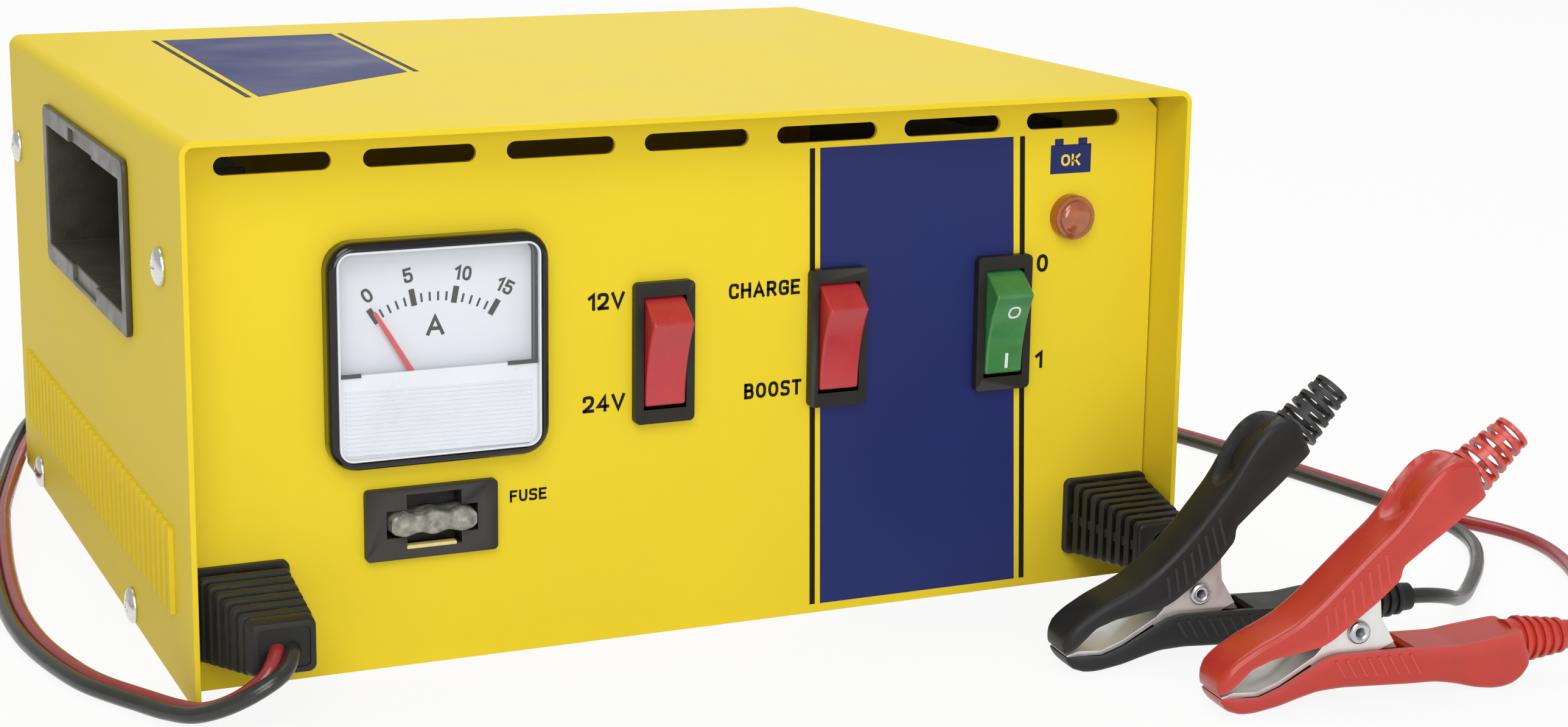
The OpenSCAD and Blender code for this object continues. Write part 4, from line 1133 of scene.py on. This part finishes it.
def make_rivet(name, put, node):
    form = Form()
    head = [(1.0, 4.9), (1.25, 5.15), (1.8, 5.25), (2.3, 5.0), (2.5, 4.5), (2.3, 4.12), (1.58, 4.1)]
    profile = [(r, -w) for r, w in head] + head[::-1]
    form.loft([[put(r * c, w, r * s) for c, s in circle(28)] for r, w in profile], loop=True)
    return form.build(name, STEEL, "zinc_screw", [node], sharp=50)


def make_spring(colour, put, node):
    """The coil and its lower leg stay with the lower half; the upper leg goes with the arm."""
    turns, pitch, r, wire, leg_angle = 3.0, 1.12, 2.9, 0.48, 42
    coil = []
    for k in range(73):
        a = 2 * pi * turns * k / 72 + radians(-leg_angle - 90)
        coil.append(put(r * cos(a), -1.7 + pitch * turns * k / 72, r * sin(a)))
    c, s = turned(-leg_angle)
    low = [put(r * s + d * c, -1.7, -r * c + d * s) for d in (20.8, 14, 7, 1.5)]
    body = Form().tube(low + coil, wire, 10)
    body = body.build(colour + "_spring_coil", STEEL, "spring_steel", [node], sharp=60)
    c, s = turned(leg_angle)
    leg = Form().tube([put(-r * s + d * c, 1.7, r * c + d * s) for d in (-0.6, 1.5, 7, 13, 18.4)], wire, 10)
    leg = leg.build(colour + "_spring_leg", STEEL, "spring_steel", body=colour + "_clamp_arm", sharp=60)
    return [body, leg]


def make_clamp(colour, at, material, bend):
    arm = colour + "_clamp_arm"
    up, down, bent = clamp_frame(at, 1), clamp_frame(at, -1), clamp_frame(at, 1, bend)
    slot = colour + "_grip"
    pieces = [
        make_grip(colour + "_upper_handle", bent, arm, material, slot, colour + "_upper_grip", True),
        make_grip(colour + "_lower_handle", down, "case", material, slot, colour + "_lower_grip", False),
        refined(colour + "_upper_jaw", "_pressed", ZINC, 0.12, body=arm),
        refined(colour + "_lower_jaw", "_pressed", ZINC, 0.12),
        make_teeth(colour + "_upper_teeth", up, arm, 2.4, 3.0),
        make_teeth(colour + "_lower_teeth", down, "case", 3.3, 4.0),
        make_rivet(colour + "_eyelet", up, colour + "_rivet"),
    ]
    return pieces + make_spring(colour, up, colour + "_spring")


# ---- putting it together

(twin, twin_path), (red_lead, red_path), (black_lead, black_path) = make_leads()
sleeve, strap = make_sleeve(), make_tie()
red_clamp = make_clamp("red", RED_PIVOT, CLAMP_RED, 0.0)
black_clamp = make_clamp("black", BLACK_PIVOT, CLAMP_BLACK, 6.0)


def metres(path):
    return [tuple(p * 0.001 + CENTRING) for p in path]


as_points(metres(twin_path))
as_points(metres(red_path))
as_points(metres(black_path))

make_case()
make_screws()
make_print()
make_meter()
make_fuse()
make_switches()
make_lamp()
make_gland("low_voltage_boot", -1, GLAND_REACH, 6, 4.1, 1.8, False, "low_voltage_gland")
make_gland("mains_boot", 1, MAINS_REACH, 8, 0.0, 0.0, True, "mains_gland")

for material, nodes in (
        (DIAL, ["meter_dial"]), (ALUMINIUM, ["meter_movement", "heatsink"]),
        (LAMINATION, ["transformer_core"]),
        (NYLON, ["bobbin", "terminal_block"]), (COPPER, ["primary_winding", "secondary_winding"]),
        (ZINC, ["transformer_bracket", "board_standoffs"]), (GLOSS_BLACK, ["rectifier", "relay"]),
        (SOLDER_MASK, ["circuit_board"]), (SLEEVE_BLUE, ["capacitor"]), (CHROME, ["chassis_bolts"])):
    for node in nodes:
        dressed(node, material)


# ---- stage and light

# How much of the floor's own white the camera sees; the rest is lit, and keeps the shadow
FLOOR_GLOW = 0.90


def make_stage():
    form = bmesh.new()
    bmesh.ops.create_grid(form, x_segments=1, y_segments=1, size=6.0)
    mesh = bpy.data.meshes.new("floor")
    form.to_mesh(mesh)
    form.free()
    obj = add_object("floor", mesh)
    obj.location = (0, 0, -0.0002)
    m = bpy.data.materials.new("floor_white")
    m.use_nodes = True
    t = m.node_tree
    t.nodes.clear()
    diffuse = node_of(t, "ShaderNodeBsdfDiffuse", {"Color": (0.80, 0.80, 0.80, 1)})
    glow = node_of(t, "ShaderNodeEmission", {"Color": (1, 1, 1, 1), "Strength": 1.0})
    # The floor glows white for what the camera sees, straight or in a gloss or a glass
    light = node_of(t, "ShaderNodeLightPath", {}).outputs
    seen = light["Is Camera Ray"]
    for operation, other in (("MAXIMUM", light["Is Glossy Ray"]), ("MAXIMUM", light["Is Transmission Ray"]),
                             ("MULTIPLY", FLOOR_GLOW)):
        seen = node_of(t, "ShaderNodeMath", {0: seen, 1: other}, operation=operation).outputs[0]
    mix = node_of(t, "ShaderNodeMixShader", {0: seen, 1: diffuse.outputs[0], 2: glow.outputs[0]})
    node_of(t, "ShaderNodeOutputMaterial", {"Surface": mix.outputs[0]})
    mesh.materials.append(m)


def area_light(name, at, target, size, power):
    data = bpy.data.lights.new(name, "AREA")
    data.shape, data.size, data.energy = "DISK", size, power
    obj = add_object(name, data)
    obj.location = Vector(at) + CENTRING
    obj.rotation_euler = (Vector(target) - Vector(at)).to_track_quat("-Z", "Y").to_euler()


def make_light():
    world = bpy.data.worlds.new("studio")
    bpy.context.scene.world = world
    world.use_nodes = True
    t = world.node_tree
    ground = feed(t, t.nodes["Background"], {"Color": (1, 1, 1, 1), "Strength": 0.53})
    white = node_of(t, "ShaderNodeBackground", {"Strength": 1.0})
    light = node_of(t, "ShaderNodeLightPath", {})
    mix = node_of(t, "ShaderNodeMixShader", {0: light.outputs["Is Camera Ray"], 1: ground.outputs[0],
                                             2: white.outputs[0]})
    feed(t, t.nodes["World Output"], {"Surface": mix.outputs[0]})
    area_light("key", (-0.5, -1.1, 1.1), (0, 0, 0.05), 0.9, 8.3)
    area_light("top", (0.15, 0.45, 1.3), (0, 0, 0.1), 1.0, 6.6)
    area_light("sheen", (0.62, 1.5, 0.50), (0, 0, 0.116), 0.9, 1.3)
    area_light("fill", (-0.12, -1.40, 0.26), (0.06, -0.08, 0.03), 0.7, 5.2)
    bpy.context.scene.view_settings.view_transform = "Standard"


make_stage()
make_light()
